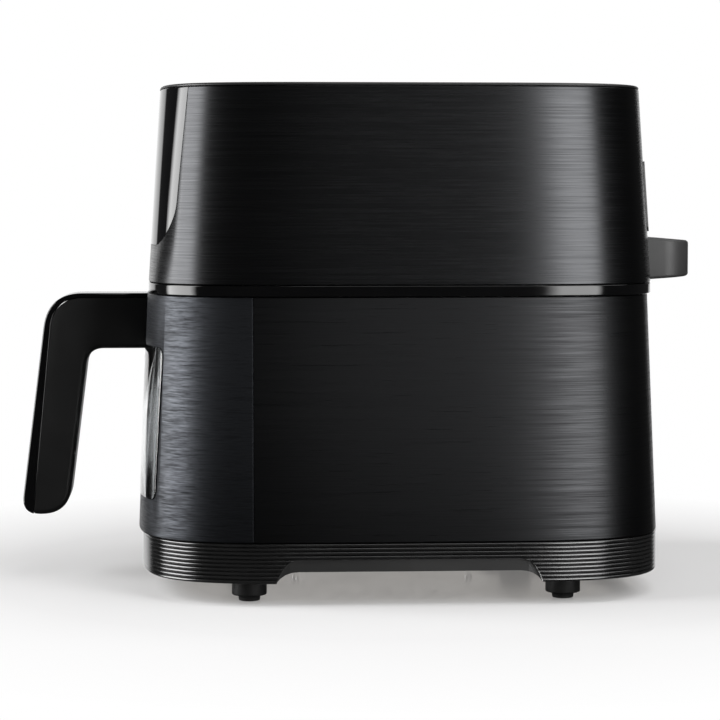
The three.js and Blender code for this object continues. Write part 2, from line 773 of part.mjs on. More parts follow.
function reflector() {
  const flange = roundedBox(-liningHalf, liningHalf, liningFront, liningRear, 8);
  const lampHole = upright(lensRadius - 2, 0, far, lensX, lensY, 16);
  const domeHole = upright(domeRadius, 0, far, 0, 0, 24);
  const sheet = raised(flange, domeFloor, domeFloor + liningWall);
  const plate = cut(sheet.intersect(core(bandTop, headTop, headInset, wall + gap)), domeHole, lampHole);
  const outer = domeRadius + liningWall;
  const dome = turned([
    [domeRadius, domeFloor],
    [outer, domeFloor],
    [outer, domeTop + liningWall - 8],
    [outer - 8, domeTop + liningWall],
    [2 * shaftRadius, domeTop + liningWall],
    [2 * shaftRadius, domeTop],
    [domeRadius - 8, domeTop],
    [domeRadius, domeTop - 8],
    [domeRadius, domeFloor],
  ]);
  const leads = [-1, 1].map((side) => upright(coilTube + leadPlay, domeTop - 2, far, side * leadX, leadY));
  return cut(union(plate, dome), ...leads);
}

function heaterCoil() {
  const coilZ = domeFloor + coilTube - 4;
  const start = Math.PI / 2 + 0.14;
  const steps = 30;
  const leadTop = domeTop + 14;
  const points = [new THREE.Vector3(-leadX, leadY, leadTop), new THREE.Vector3(-leadX, leadY, coilZ + 10)];
  for (let k = 0; k <= steps; k++) {
    const share = (coilTurns * k) / steps;
    const turn = start + share * 2 * Math.PI;
    const radius = coilRadius - share * coilPitch;
    points.push(new THREE.Vector3(radius * Math.cos(turn), radius * Math.sin(turn), coilZ));
  }
  points.push(new THREE.Vector3(leadX, leadY, coilZ + 14));
  points.push(new THREE.Vector3(leadX, leadY, leadTop));
  const path = new THREE.CatmullRomCurve3(points, false, "centripetal");
  const section = new THREE.Shape().absarc(0, 0, coilTube, 0, 2 * Math.PI);
  return solid(new THREE.ExtrudeGeometry(section, { steps: 60, extrudePath: path, curveSegments: 3 }));
}

function heaterGuard() {
  const z0 = domeFloor - guardDrop - guardBar;
  const z1 = domeFloor - guardDrop;
  const ring = (radius) =>
    turned(
      [
        [radius, z0],
        [radius + guardBar, z0],
        [radius + guardBar, z1],
        [radius, z1],
        [radius, z0],
      ],
      20,
    );
  const reach = domeRadius + 10;
  const bars = [0, 1, 2].map((spoke) => {
    const bar = new THREE.BoxGeometry(2 * reach, guardBar, guardBar);
    return solid(bar.rotateZ((spoke * Math.PI) / 3).translate(0, 0, (z0 + z1) / 2));
  });
  const chamber = block(-far, far, -far, liningRear - liningWall - gap, 0, far);
  return union(ring(domeRadius - 8), ring(domeRadius / 2), ...bars).intersect(chamber);
}

// Blades that stand on a disc round a hub, bored for the shaft.
function bladedWheel(radius, z0, height, count) {
  const hubRadius = 3 * shaftRadius;
  let wheel = union(upright(hubRadius, z0, z0 + height + 2), upright(radius * 0.8, z0, z0 + 1.2, 0, 0, 24));
  for (let blade = 0; blade < count; blade++) {
    const root = hubRadius - 3;
    const vane = new THREE.BoxGeometry(radius - root, 1.2, height);
    vane.rotateX(0.35).translate((radius + root) / 2, 0, z0 + height / 2);
    wheel = wheel.add(solid(vane.rotateZ((blade * 2 * Math.PI) / count)));
  }
  const under = block(-far, far, -far, far, 0, z0);
  return cut(wheel, upright(shaftRadius + gap, 0, far, 0, 0, 16), under);
}

const convectionFan = () => bladedWheel(fanRadius, domeFloor + 8, fanHeight, bladeCount);
const coolingFan = () => bladedWheel(coolerRadius, domeTop + 10, coolerHeight, bladeCount + 1);
const motorShaft = () => upright(shaftRadius, shaftBottom, shaftTop, 0, 0, 16);

function motorBridge() {
  const half = domeRadius + 10;
  const depth = 26;
  const z0 = motorFloor - gap - bridgeThickness;
  const foot = domeFloor + liningWall + gap;
  const span = block(-half, half, -depth, depth, z0, z0 + bridgeThickness);
  const legs = [-1, 1].flatMap((side) => {
    const x = side * half;
    const leg = block(Math.min(x, x - side * 2), Math.max(x, x - side * 2), -depth, depth, foot, z0 + 1);
    const toeEnds = [x - side, x + side * 8];
    const toe = block(Math.min(...toeEnds), Math.max(...toeEnds), -depth, depth, foot, foot + 1.5);
    return [leg, toe];
  });
  return cut(union(span, ...legs), upright(bearingRadius + 3, 0, far, 0, 0, 16));
}

const motorTop = motorFloor + motorHeight;
function motorCase() {
  const bore = bearingRadius + gap;
  const inner = motorRadius - 10;
  return turned(
    [
      [bore, motorFloor],
      [motorRadius, motorFloor],
      [motorRadius, motorTop],
      [bore, motorTop],
      [bore, motorTop - motorWall],
      [inner, motorTop - motorWall],
      [inner, motorFloor + motorWall],
      [bore, motorFloor + motorWall],
      [bore, motorFloor],
    ],
    20,
  );
}

function bush(z0) {
  const z1 = z0 + motorWall;
  const bore = shaftRadius + shaftPlay;
  return turned(
    [
      [bore, z0],
      [bearingRadius, z0],
      [bearingRadius, z1],
      [bore, z1],
      [bore, z0],
    ],
    16,
  );
}

function motorRotor() {
  const z0 = motorFloor + motorWall + 3;
  const z1 = motorTop - motorWall - 3;
  const bore = shaftRadius + gap;
  return turned(
    [
      [bore, z0],
      [rotorRadius, z0],
      [rotorRadius, z1],
      [bore, z1],
      [bore, z0],
    ],
    16,
  );
}

// ---- Electronics, sensors, lamp and air duct ------------------------------------------------------
const boardThickness = 1.6;
const controlBoardHalf = 80;
const controlBoardBack = 30; // behind the plinth's front
function controlBoard() {
  const y = controlBoardBack - baseHalfDepth;
  return block(-controlBoardHalf, controlBoardHalf, y, y + boardThickness, panelBottom + 8, headTop - 12);
}

const powerBoardHalf = 50;
const powerBoardX = panHalf + 1;
const transformerReach = 22; // of its iron from the board
const transformerSide = 28;
const windingProud = 4;

// The mains board stands beside the motor, with its transformer soldered to it.
function powerBoard() {
  const x = powerBoardX;
  const z0 = domeTop + 34;
  const half = transformerSide / 2;
  const sheet = block(x, x + boardThickness, -powerBoardHalf, powerBoardHalf, domeTop + 10, headTop - 16);
  const iron = block(x - transformerReach, x + boardThickness / 2, -half, half, z0, z0 + transformerSide - 2);
  const side = half - windingProud;
  const end = x - transformerReach;
  const winding = block(end - windingProud, end + 1, -side, side, z0 + windingProud, z0 + 2 * half - 6);
  return union(sheet, iron, winding);
}

const probeRadius = 2;
const probeY = 70;
function sensorProbe() {
  const x = -domeRadius - 8;
  const collar = upright(2.5 * probeRadius, domeFloor + liningWall + gap, domeFloor + 8, x, probeY);
  return union(collar, upright(probeRadius, domeFloor + 5, domeFloor + 16, x, probeY));
}

const fuseRadius = 7;
const fuseHeight = 9;
const fuseX = -62;
const fuseY = 40;
const thermalFuse = () =>
  upright(fuseRadius, domeTop + liningWall + gap, domeTop + fuseHeight, fuseX, fuseY);

function lampHolder() {
  const z0 = domeFloor + liningWall + gap;
  const half = holderHalf;
  return block(lensX - half, lensX + half, lensY - half, lensY + half, z0, z0 + holderHeight);
}

const lampLens = () => upright(lensRadius, domeFloor - gap - 4, domeFloor - gap, lensX, lensY, 16);

const ductWall = 1.5;
const ductInset = 10; // of its sides from the grille's
function exhaustDuct() {
  const y0 = domeRadius + 4;
  const y1 = baseHalfDepth;
  const z0 = grilleBottom + 2;
  const z1 = grilleBottom + grilleHeight - 2;
  const half = grilleHalf - ductInset;
  const inner = half - ductWall;
  const outer = block(-half, half, y0, y1, z0, z1);
  const hollow = block(-inner, inner, y0 - 1, y1 + 1, z0 + ductWall, z1 - ductWall);
  return cut(outer, hollow).intersect(core(bandTop, headTop, headInset, wall + gap));
}

// ---- Finishes ------------------------------------------------------------------------------------
const finish = (color, roughness, metalness) =>
  new THREE.MeshStandardMaterial({ color, roughness, metalness });
const brushedBlack = finish(0x1b1c1e, 0.35, 0.9);
const glossBlack = finish(0x060607, 0.05, 0);
const satinBlack = finish(0x101112, 0.5, 0);
const rubber = finish(0x0a0a0a, 0.8, 0);
const galvanised = finish(0xa9a7a2, 0.4, 0.9);
const nonStick = finish(0x2a2b2d, 0.45, 0.6);
const clear = finish(0xe8edf0, 0.03, 0);
const steel = finish(0xb9bcc0, 0.25, 1);
const whitePlastic = finish(0xd8d8d4, 0.5, 0);
const copper = finish(0x8a5a34, 0.4, 1);
const board = finish(0x1d5b38, 0.6, 0);

// ---- Assembly ------------------------------------------------------------------------------------
const fryer = new THREE.Group();

function add(name, body, material, parent = fryer) {
  const mesh = new THREE.Mesh(geometryOf(body), material);
  mesh.name = name;
  parent.add(mesh);
  return mesh;
}

for (const [corner, side, end] of corners) {
  add("foot_" + corner, foot(), rubber).position.set(side * footAcross, end * footAlong, 0);
  add("base_screw_" + corner, baseScrew(side, end), steel);
}
add("plinth_skirt", plinthSkirt(), glossBlack);
add("base_tray", baseTray(), satinBlack);
add("base_plate", basePlate(), galvanised);

add("lower_shell", lowerShell(), brushedBlack);
add("cord_gland", cordGland(), rubber);
add("chamber_lining", chamberLining(), galvanised);
add("rail_left", rail(-1), steel);
add("rail_right", rail(1), steel);
add("catch_spring_left", catchSpring(-1), steel);
add("catch_spring_right", catchSpring(1), steel);
add("drawer_switch", microSwitch(), whitePlastic);
add("switch_plunger", switchPlunger(), whitePlastic);

const drawer = new THREE.Group();
fryer.add(drawer);
add("drawer_front", drawerFront(), brushedBlack, drawer);
add("window_pane", windowPane(), clear, drawer);
add("front_frame", frontFrame(), satinBlack, drawer);
add("drawer_pan", drawerPan(), nonStick, drawer);
add("pan_glass", panGlass(), clear, drawer);
add("handle_grip", handleGrip(), satinBlack, drawer);
add("handle_cover", handleCover(), glossBlack, drawer);
add("handle_screw_lower", handleScrew(handleScrewHeights[0]), steel, drawer);
add("handle_screw_upper", handleScrew(handleScrewHeights[1]), steel, drawer);
add("crisper_plate", crisperPlate(), nonStick, drawer);
add("plate_grip", plateGrip(), steel, drawer);
for (const [corner, side, end] of corners) add("plate_bumper_" + corner, bumper(side, end), rubber, drawer);

add("trim_band", trimBand(), glossBlack);
add("deck", deck(), satinBlack);
add("head_housing", headHousing(), brushedBlack);
add("control_panel", controlPanel(), glossBlack);
add("top_cover", topCover(), satinBlack);
add("vent_grille", ventGrille(), satinBlack);
add("rear_spacer", rearSpacer(), satinBlack);

add("heat_reflector", reflector(), steel);
add("heater_coil", heaterCoil(), steel);
add("heater_guard", heaterGuard(), steel);
add("convection_fan", convectionFan(), steel);
add("cooling_fan", coolingFan(), whitePlastic);
add("motor_shaft", motorShaft(), steel);
add("motor_rotor", motorRotor(), copper);
add("motor_case", motorCase(), galvanised);
add("motor_bush_lower", bush(motorFloor), copper);
add("motor_bush_upper", bush(motorTop - motorWall), copper);
add("motor_bridge", motorBridge(), galvanised);

add("control_board", controlBoard(), board);
add("power_board", powerBoard(), board);
add("temperature_probe", sensorProbe(), steel);
add("thermal_fuse", thermalFuse(), whitePlastic);
add("lamp_holder", lampHolder(), whitePlastic);
add("lamp_lens", lampLens(), clear);
add("exhaust_duct", exhaustDuct(), galvanised);

// The frame's origin is on the floor, under the middle of the whole footprint, handle included.
const reach = new THREE.Box3().setFromObject(fryer);
fryer.position.y = -(reach.min.y + reach.max.y) / 2;

export default fryer;
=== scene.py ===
"""The looks of a drawer-type air fryer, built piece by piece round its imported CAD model.
Metres, +Z up, the drawer opens towards -Y; every shell follows one plan curve, a superellipse."""

import math

import bmesh
import bpy
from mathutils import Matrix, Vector


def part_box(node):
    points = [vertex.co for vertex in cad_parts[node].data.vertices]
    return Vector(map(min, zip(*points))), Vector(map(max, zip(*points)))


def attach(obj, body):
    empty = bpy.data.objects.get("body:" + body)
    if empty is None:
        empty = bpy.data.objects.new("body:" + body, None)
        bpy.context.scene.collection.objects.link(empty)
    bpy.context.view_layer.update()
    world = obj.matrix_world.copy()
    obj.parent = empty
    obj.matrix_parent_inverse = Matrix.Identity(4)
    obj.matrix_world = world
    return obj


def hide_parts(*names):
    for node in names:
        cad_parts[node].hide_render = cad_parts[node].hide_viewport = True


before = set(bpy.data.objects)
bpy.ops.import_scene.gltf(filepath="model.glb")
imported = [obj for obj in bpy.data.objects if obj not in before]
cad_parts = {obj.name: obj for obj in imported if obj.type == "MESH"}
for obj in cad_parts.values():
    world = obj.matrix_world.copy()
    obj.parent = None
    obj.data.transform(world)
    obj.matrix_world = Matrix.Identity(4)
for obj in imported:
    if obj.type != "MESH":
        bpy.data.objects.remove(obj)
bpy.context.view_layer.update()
mm = 0.001

# ---- Camera ---------------------------------------------------------------------------------------
# A long lens looks at the fryer's side from a little towards its drawer, just below the lid's height,
# so that the handle stands at the left and the rear spacer at the right.
band_low, band_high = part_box("trim_band")
middle = (band_low.y + band_high.y) / 2
camera = bpy.data.objects.new("camera", bpy.data.cameras.new("camera"))
bpy.context.scene.collection.objects.link(camera)
camera.data.lens = 125.4
camera.data.clip_end = 20
downward, bearing = 3.6956, 86.488  # degrees below level, and from looking along +Y towards -X
camera.location = (1.618, middle - 0.1203, 0.2417)
camera.rotation_euler = (math.radians(90 - downward), 0, math.radians(bearing))
bpy.context.scene.camera = camera

# ---- Plinth skirt ---------------------------------------------------------------------------------
# A black ABS ring round the base, moulded with ten fine horizontal ribs that throw thin highlights.
# Each long side has a wide arch for cooling air; the ring clips round the tray from outside.
skirt_low, skirt_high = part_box("plinth_skirt")
half_width = skirt_high.x
half_depth = (skirt_high.y - skirt_low.y) / 2
plan_power = 4.7
plan_steps = 320  # points round a whole plan curve
rib_count = 10
rib_depth = 1.05 * mm
rib_steps = 8
rib_fullness = 0.7  # under 1, the ribs are fatter than the grooves between them
skirt_wall = 3.5 * mm
arch_half = 79.4 * mm
arch_corner = 13.5 * mm
arch_rise = 14.4 * mm


def recipe(name, **inputs):
    """A Geometry Nodes tree and its inputs: the geometry, those named for each kind, and the finish."""
    tree = bpy.data.node_groups.new(name, "GeometryNodeTree")
    tree.interface.new_socket("Geometry", in_out="INPUT", socket_type="NodeSocketGeometry")
    for kind, labels in {**inputs, "Material": "Finish"}.items():
        for label in labels.split(", "):
            tree.interface.new_socket(label, in_out="INPUT", socket_type="NodeSocket" + kind)
    tree.interface.new_socket("Geometry", in_out="OUTPUT", socket_type="NodeSocketGeometry")
    return tree, tree.nodes.new("NodeGroupInput").outputs


def serve(tree, given, geometry):
    """Ends a recipe: its copies are made real, take the finish and go out."""
    whole = node(tree, "GeometryNodeRealizeInstances", Geometry=geometry).outputs[0]
    coated = node(tree, "GeometryNodeSetMaterial", Geometry=whole, Material=given["Finish"])
    tree.links.new(coated.outputs[0], tree.nodes.new("NodeGroupOutput").inputs[0])


def node(tree, kind, settings=None, **inputs):
    """A new node of that kind. Its inputs, named with _ for a space or numbered as i0, i1 and so on,
    take a socket or a plain value."""
    made = tree.nodes.new(kind)
    for key, value in (settings or {}).items():
        setattr(made, key, value)
    for key, value in inputs.items():
        numbered = key[0] == "i" and key[1:].isdigit()
        socket = made.inputs[int(key[1:]) if numbered else key.replace("_", " ")]
        if isinstance(value, bpy.types.NodeSocket):
            tree.links.new(value, socket)
        else:
            socket.default_value = value
    return made


def math_of(tree, operation, first, second=0.0):
    return node(tree, "ShaderNodeMath", {"operation": operation}, i0=first, i1=second).outputs[0]


def new_piece(name, mesh):
    piece = bpy.data.objects.new(name, mesh)
    bpy.context.scene.collection.objects.link(piece)
    return piece


def make_by(piece, tree, values):
    """Runs a recipe on a piece, with the inputs named in `values` set."""
    modifier = piece.modifiers.new(tree.name, "NODES")
    modifier.node_group = tree
    for item in tree.interface.items_tree:
        if item.in_out == "INPUT" and item.name in values:
            modifier[item.identifier] = values[item.name]


def apply_modifiers(piece):
    bpy.context.view_layer.update()
    graph = bpy.context.evaluated_depsgraph_get()
    mesh = bpy.data.meshes.new_from_object(piece.evaluated_get(graph))
    piece.modifiers.clear()
    piece.data = mesh


def settle(piece, sharp=32):
    """Turns a piece's modifiers into its plain mesh, smooth but for edges over `sharp` degrees."""
    apply_modifiers(piece)
    form = bmesh.new()
    form.from_mesh(piece.data)
    for face in form.faces:
        face.smooth = True
    for edge in form.edges:
        edge.smooth = len(edge.link_faces) == 2 and edge.calc_face_angle(0) < math.radians(sharp)
    form.to_mesh(piece.data)
    form.free()
    return piece


def body_from(name, form):
    """A new piece from a closed set of faces, turned to face outwards."""
    bmesh.ops.recalc_face_normals(form, faces=form.faces)
    mesh = bpy.data.meshes.new(name)
    form.to_mesh(mesh)
    form.free()
    return new_piece(name, mesh)


def capped_loft(name, rings):
    """A body through rings of points of equal count, closed flat at the first and the last."""
    form = bmesh.new()
    loops = [[form.verts.new(point) for point in ring] for ring in rings]
    form.faces.new(loops[0])
    form.faces.new(loops[-1])
    for low, high in zip(loops, loops[1:]):
        for j, corner in enumerate(low):
            k = (j + 1) % len(low)
            form.faces.new((corner, low[k], high[k], high[j]))
    return body_from(name, form)


def circle(radius, height, sides, along=0.0, closed=False):
    """Points round a circle about an upright axis; a closed one ends on its first point again."""
    turns = [math.tau * i / sides for i in range(sides + closed)]
    return [(radius * math.cos(t), along + radius * math.sin(t), height) for t in turns]


def prism(outline, axis, start, end):
    """A solid with a flat outline, run along X or Y. The outline's points are (Y, Z) or (X, Z)."""
    place = {"X": lambda p, s: (s, p[0], p[1]), "Y": lambda p, s: (p[0], s, p[1])}[axis]
    return capped_loft("prism", [[place(point, along) for point in outline] for along in (start, end)])


def carve(piece, tool, operation="DIFFERENCE"):
    """Cuts a piece with a tool that is then thrown away, or keeps only what they share."""
    boolean = piece.modifiers.new("carve", "BOOLEAN")
    boolean.operation = operation
    boolean.solver = "EXACT"
    boolean.object = tool
    apply_modifiers(piece)
    bpy.data.objects.remove(tool)
    return piece


def bend_between(start, turn, end, steps=8):
    """Points of a quadratic curve from start to end that turns at the corner `turn`."""
    points = []
    for step in range(steps + 1):
        t = step / steps
        a, b, c = (1 - t) ** 2, 2 * t * (1 - t), t * t
        points.append(tuple(a * s + b * m + c * e for s, m, e in zip(start, turn, end)))
    return points


def arch_tool(rise):
    foot, head = skirt_low.z, skirt_low.z + rise
    turn = arch_half - arch_corner / 3
    right = bend_between((arch_half, foot), (turn, head), (arch_half - arch_corner, head), 12)
    left = [(-along, height) for along, height in reversed(right)]
    outline = [(-arch_half, foot - rise), (arch_half, foot - rise), *right, *left]
    return prism([(along + middle, height) for along, height in outline], "X", -1, 1)


def shader(name, **sockets):
    """A new material and its Principled shader, with uniform values set on the shader's sockets."""
    made = bpy.data.materials.new(name)
    made.use_nodes = True
    principled = made.node_tree.nodes["Principled BSDF"]
    for key, value in sockets.items():
        principled.inputs[key.replace("_", " ")].default_value = value
    return made, made.node_tree, principled


def grain(tree, stretch, detail=3.0, roughness=0.55, distortion=0.0):
    """Noise on object coordinates; stretch is its cells per metre along X, Y and Z."""
    place = node(tree, "ShaderNodeTexCoord").outputs["Object"]
    scaled = node(tree, "ShaderNodeMapping", Vector=place, Scale=stretch).outputs[0]
    inputs = {"Vector": scaled, "Scale": 1.0, "Detail": detail, "Roughness": roughness}
    return node(tree, "ShaderNodeTexNoise", Distortion=distortion, **inputs).outputs[0]


def spread(tree, value, low, high, to_low, to_high):
    """Maps a pattern's values from low..high to to_low..to_high, clamped."""
    inputs = {"From_Min": low, "From_Max": high, "To_Min": to_low, "To_Max": to_high}
    return node(tree, "ShaderNodeMapRange", Value=value, **inputs).outputs[0]


def tint(tree, pattern, low, high, dark, light):
    """A colour from dark to light, as a pattern's values run from low to high."""
    share = spread(tree, pattern, low, high, 0, 1)
    mix = {"i0": share, "i6": (*dark, 1), "i7": (*light, 1)}
    return node(tree, "ShaderNodeMix", {"data_type": "RGBA"}, **mix).outputs[2]


def surface(material, colour, shine, height, depth):
    """Gives a new material its colour (None leaves it), roughness and a relief of that depth."""
    made, tree, principled = material
    bump = node(tree, "ShaderNodeBump", Height=height, Distance=depth, Strength=1.0).outputs[0]
    for key, socket in (("Base Color", colour), ("Roughness", shine), ("Normal", bump)):
        if socket:
            tree.links.new(socket, principled.inputs[key])
    return made


def weighted(tree, first, second, share):
    """Two patterns added, the first with that share and the second with the rest."""
    rest = round(1 - share, 6)
    return math_of(
        tree, "ADD", math_of(tree, "MULTIPLY", first, share), math_of(tree, "MULTIPLY", second, rest)
    )


def moulded_plastic(name, dark, light, roughness, grain_depth, **sockets):
    """Injection-moulded plastic: a fine spark-eroded grain, faint flow marks and rubbed patches."""
    material = shader(name, Metallic=0.0, **sockets)
    tree = material[1]
    pores = grain(tree, (2600, 2600, 2600), 2)
    flow = grain(tree, (18, 18, 30), 4)
    rubbed = grain(tree, (60, 60, 90), 5, 0.65)
    shine = spread(tree, rubbed, 0.35, 0.65, roughness * 0.95, roughness * 1.06)
    return surface(material, tint(tree, flow, 0.35, 0.7, dark, light), shine, pores, grain_depth)


skirt_black = moulded_plastic(
    "skirt_black", (0.004, 0.004, 0.004), (0.008, 0.008, 0.008), 0.17, 2e-6, Specular_IOR_Level=1.0
)

ribs, given = recipe(
    "ribbed_ring",
    Float="Half Width, Half Depth, Plan Power, Floor, Height, Wall, Rib Depth, Middle",
    Int="Rib Count, Rib Steps, Plan Steps",
)
rows = math_of(ribs, "MULTIPLY", given["Rib Count"], given["Rib Steps"])
around = math_of(ribs, "ADD", given["Plan Steps"], 1)
sheet = node(
    ribs,
    "GeometryNodeMeshGrid",
    Size_X=1.0,
    Size_Y=1.0,
    Vertices_X=around,
    Vertices_Y=math_of(ribs, "ADD", rows, 4),
)
place = node(ribs, "ShaderNodeSeparateXYZ", Vector=node(ribs, "GeometryNodeInputPosition").outputs[0])
# The last column stands on the first, and the two are merged, which closes the ring.
column = math_of(ribs, "MULTIPLY", math_of(ribs, "ADD", place.outputs[0], 0.5), given["Plan Steps"])
column = math_of(ribs, "MODULO", math_of(ribs, "ROUND", column), given["Plan Steps"])
turn = math_of(ribs, "MULTIPLY", math_of(ribs, "DIVIDE", column, given["Plan Steps"]), math.tau)
# The rows run from the inner face's foot up the ribbed face, over the top and back down inside.
row = math_of(ribs, "MULTIPLY", math_of(ribs, "ADD", place.outputs[1], 0.5), math_of(ribs, "ADD", rows, 3))
row = math_of(ribs, "ROUND", row)
last = math_of(ribs, "GREATER_THAN", row, math_of(ribs, "ADD", rows, 2.5))
inner = math_of(ribs, "GREATER_THAN", row, math_of(ribs, "ADD", rows, 1.5))
inner = math_of(ribs, "MAXIMUM", inner, math_of(ribs, "LESS_THAN", row, 0.5))
level = math_of(ribs, "DIVIDE", math_of(ribs, "SUBTRACT", row, 1), rows)
level = math_of(ribs, "MINIMUM", math_of(ribs, "MAXIMUM", level, 0), 1)
level = math_of(ribs, "MULTIPLY", level, math_of(ribs, "SUBTRACT", 1, last))
wave = math_of(ribs, "MULTIPLY", math_of(ribs, "MULTIPLY", level, given["Rib Count"]), math.pi)
crest = math_of(ribs, "POWER", math_of(ribs, "ABSOLUTE", math_of(ribs, "SINE", wave)), rib_fullness)
groove = math_of(ribs, "MULTIPLY", math_of(ribs, "SUBTRACT", 1, crest), given["Rib Depth"])
depth = math_of(ribs, "ADD", groove, math_of(ribs, "MULTIPLY", inner, given["Wall"]))
share = math_of(ribs, "DIVIDE", 2, given["Plan Power"])
reach = []
for operation, half in (("COSINE", "Half Width"), ("SINE", "Half Depth")):
    wave = math_of(ribs, operation, turn)
    bowed = math_of(ribs, "POWER", math_of(ribs, "ABSOLUTE", wave), share)
    signed = math_of(ribs, "MULTIPLY", bowed, math_of(ribs, "SIGN", wave))
    span = math_of(ribs, "SUBTRACT", given[half], depth)
    reach.append(math_of(ribs, "MULTIPLY", signed, span))
height = math_of(ribs, "MULTIPLY", level, given["Height"])
point = node(
    ribs,
    "ShaderNodeCombineXYZ",
    X=reach[0],
    Y=math_of(ribs, "ADD", reach[1], given["Middle"]),
    Z=math_of(ribs, "ADD", height, given["Floor"]),
)
shaped = node(ribs, "GeometryNodeSetPosition", Geometry=sheet.outputs[0], Position=point.outputs[0])
closed = node(ribs, "GeometryNodeMergeByDistance", Geometry=shaped.outputs[0], Distance=1e-6)
serve(ribs, given, closed.outputs[0])

skirt = new_piece("ribbed_plinth_skirt", bpy.data.meshes.new("skirt"))
make_by(
    skirt,
    ribs,
    {
        "Half Width": half_width,
        "Half Depth": half_depth,
        "Plan Power": plan_power,
        "Floor": skirt_low.z,
        "Height": skirt_high.z - skirt_low.z,
        "Wall": skirt_wall,
        "Rib Depth": rib_depth,
        "Rib Count": rib_count,
        "Rib Steps": rib_steps,
        "Plan Steps": plan_steps,
        "Middle": middle,
        "Finish": skirt_black,
    },
)
settle(carve(skirt, arch_tool(arch_rise)), 50)
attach(skirt, "housing")
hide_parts("plinth_skirt")


def dress(names, finish):
    """Gives CAD nodes that show as they are their finish."""
    for name in names:
        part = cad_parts[name]
        part.data.materials.clear()
        part.data.materials.append(finish)


def clad(piece, body, finish, slot, *nodes):
    """Gives a new piece its finish and its body, and hides the CAD nodes that it stands for. The slot is not
    used.
    """
    piece.data.materials.clear()
    piece.data.materials.append(finish)
    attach(piece, body)
    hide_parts(*nodes)


# ---- Base tray and base plate ---------------------------------------------------------------------
# The tray is a satin black moulding that everything stands on, with lower arches behind the skirt's.
# A galvanised plate with rows of square vents closes it from below, held by four screws.
tray_black = moulded_plastic("tray_black", (0.006, 0.006, 0.006), (0.012, 0.012, 0.0115), 0.45, 4e-6)
dress(["base_tray"], tray_black)


def zinc_sheet(name, dark, light, roughness):
    """Galvanised steel: a faint spangle of zinc crystals under a dull film, with fine rolling marks."""
    material = shader(name, Metallic=0.9)
    tree = material[1]
    place = node(tree, "ShaderNodeTexCoord").outputs["Object"]
    crystals = node(tree, "ShaderNodeTexVoronoi", Vector=place, Scale=150.0).outputs["Color"]
    spangle = node(tree, "ShaderNodeSeparateColor", Color=crystals).outputs[0]
    blend = weighted(tree, spangle, grain(tree, (25, 25, 25), 5), 0.35)
    colour = tint(tree, blend, 0.25, 0.7, dark, light)
    shine = spread(tree, blend, 0.2, 0.8, roughness * 0.75, roughness * 1.25)
    return surface(material, colour, shine, grain(tree, (40, 1200, 40), 3), 4e-6)


plate_zinc = zinc_sheet("plate_zinc", (0.6, 0.575, 0.54), (0.84, 0.81, 0.77), 0.42)
dress(["base_plate"], plate_zinc)

# ---- Feet and base screws -------------------------------------------------------------------------
# Four stepped rubber feet are pressed into the tray's pads, each a wide collar over a narrower tip.
# Four cross-headed steel screws hold the base plate up against the tray's bosses.
foot_low, foot_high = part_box("foot_rear_right")
foot_radius = (foot_high.x - foot_low.x) / 2
foot_tip = 6.5 * mm
foot_step = 3.6 * mm
foot_round = 0.7 * mm


def lathed(name, outline, sides=48):
    """A solid turned round +Z from (radius, height) points that start and end on the axis."""
    form = bmesh.new()
    rings = []
    for radius, height in outline:
        if radius < 1e-7:
            rings.append([form.verts.new((0, 0, height))])
            continue
        rings.append([form.verts.new(point) for point in circle(radius, height, sides)])
    for low, high in zip(rings, rings[1:]):
        for i in range(sides):
            j = (i + 1) % sides
            corners = [low[i % len(low)], low[j % len(low)], high[j % len(high)], high[i % len(high)]]
            face = list(dict.fromkeys(corners))
            if len(face) > 2:
                form.faces.new(face)
    return body_from(name, form)


corner_copies, given = recipe("one_at_each_corner", Float="Across, Along, Middle")
grid = node(
    corner_copies,
    "GeometryNodeMeshGrid",
    Size_X=math_of(corner_copies, "MULTIPLY", given["Across"], 2),
    Size_Y=math_of(corner_copies, "MULTIPLY", given["Along"], 2),
    Vertices_X=2,
    Vertices_Y=2,
)
aside = node(corner_copies, "ShaderNodeCombineXYZ", X=0.0, Y=given["Middle"], Z=0.0).outputs[0]
moved = node(corner_copies, "GeometryNodeSetPosition", Geometry=grid.outputs[0], Offset=aside)
copies = node(corner_copies, "GeometryNodeInstanceOnPoints", Points=moved.outputs[0], Instance=given[0])
serve(corner_copies, given, copies.outputs[0])
corners = ("front_left", "front_right", "rear_left", "rear_right")


def at_corners(piece, low, high, finish):
    """Puts a copy of a piece at each corner; low and high bound the one at the rear right."""
    across, along = (low.x + high.x) / 2, (low.y + high.y) / 2 - middle
    make_by(piece, corner_copies, {"Across": across, "Along": along, "Middle": middle, "Finish": finish})


def rubber(name, dark, light):
    """Moulded rubber: dull and slightly dusty, with a pebbled skin."""
    material = shader(name, Metallic=0.0, Specular_IOR_Level=0.35)
    tree = material[1]
    dust = grain(tree, (220, 220, 220), 5, 0.7)
    colour, shine = tint(tree, dust, 0.4, 0.75, dark, light), spread(tree, dust, 0.3, 0.7, 0.5, 0.75)
    return surface(material, colour, shine, grain(tree, (1500, 1500, 1500), 2), 1e-5)


foot_rubber = rubber("foot_rubber", (0.003, 0.003, 0.003), (0.008, 0.008, 0.0076))
foot = lathed(
    "rubber_feet",
    [
        (0, 0),
        (foot_tip - 1.6 * foot_round, 0),
        (foot_tip - 0.4 * foot_round, 0.4 * foot_round),
        (foot_tip, 1.5 * foot_round),
        (foot_tip + 0.2 * mm, foot_step - 0.5 * mm),
        (foot_tip + 0.9 * mm, foot_step),
        (foot_radius - foot_round, foot_step),
        (foot_radius - 0.3 * foot_round, foot_step + 0.3 * foot_round),
        (foot_radius, foot_step + foot_round),
        (foot_radius, foot_high.z),
        (0, foot_high.z),
    ],
)
at_corners(foot, foot_low, foot_high, foot_rubber)
clad(settle(foot, 50), "housing", foot_rubber, "rubber", *("foot_" + c for c in corners))


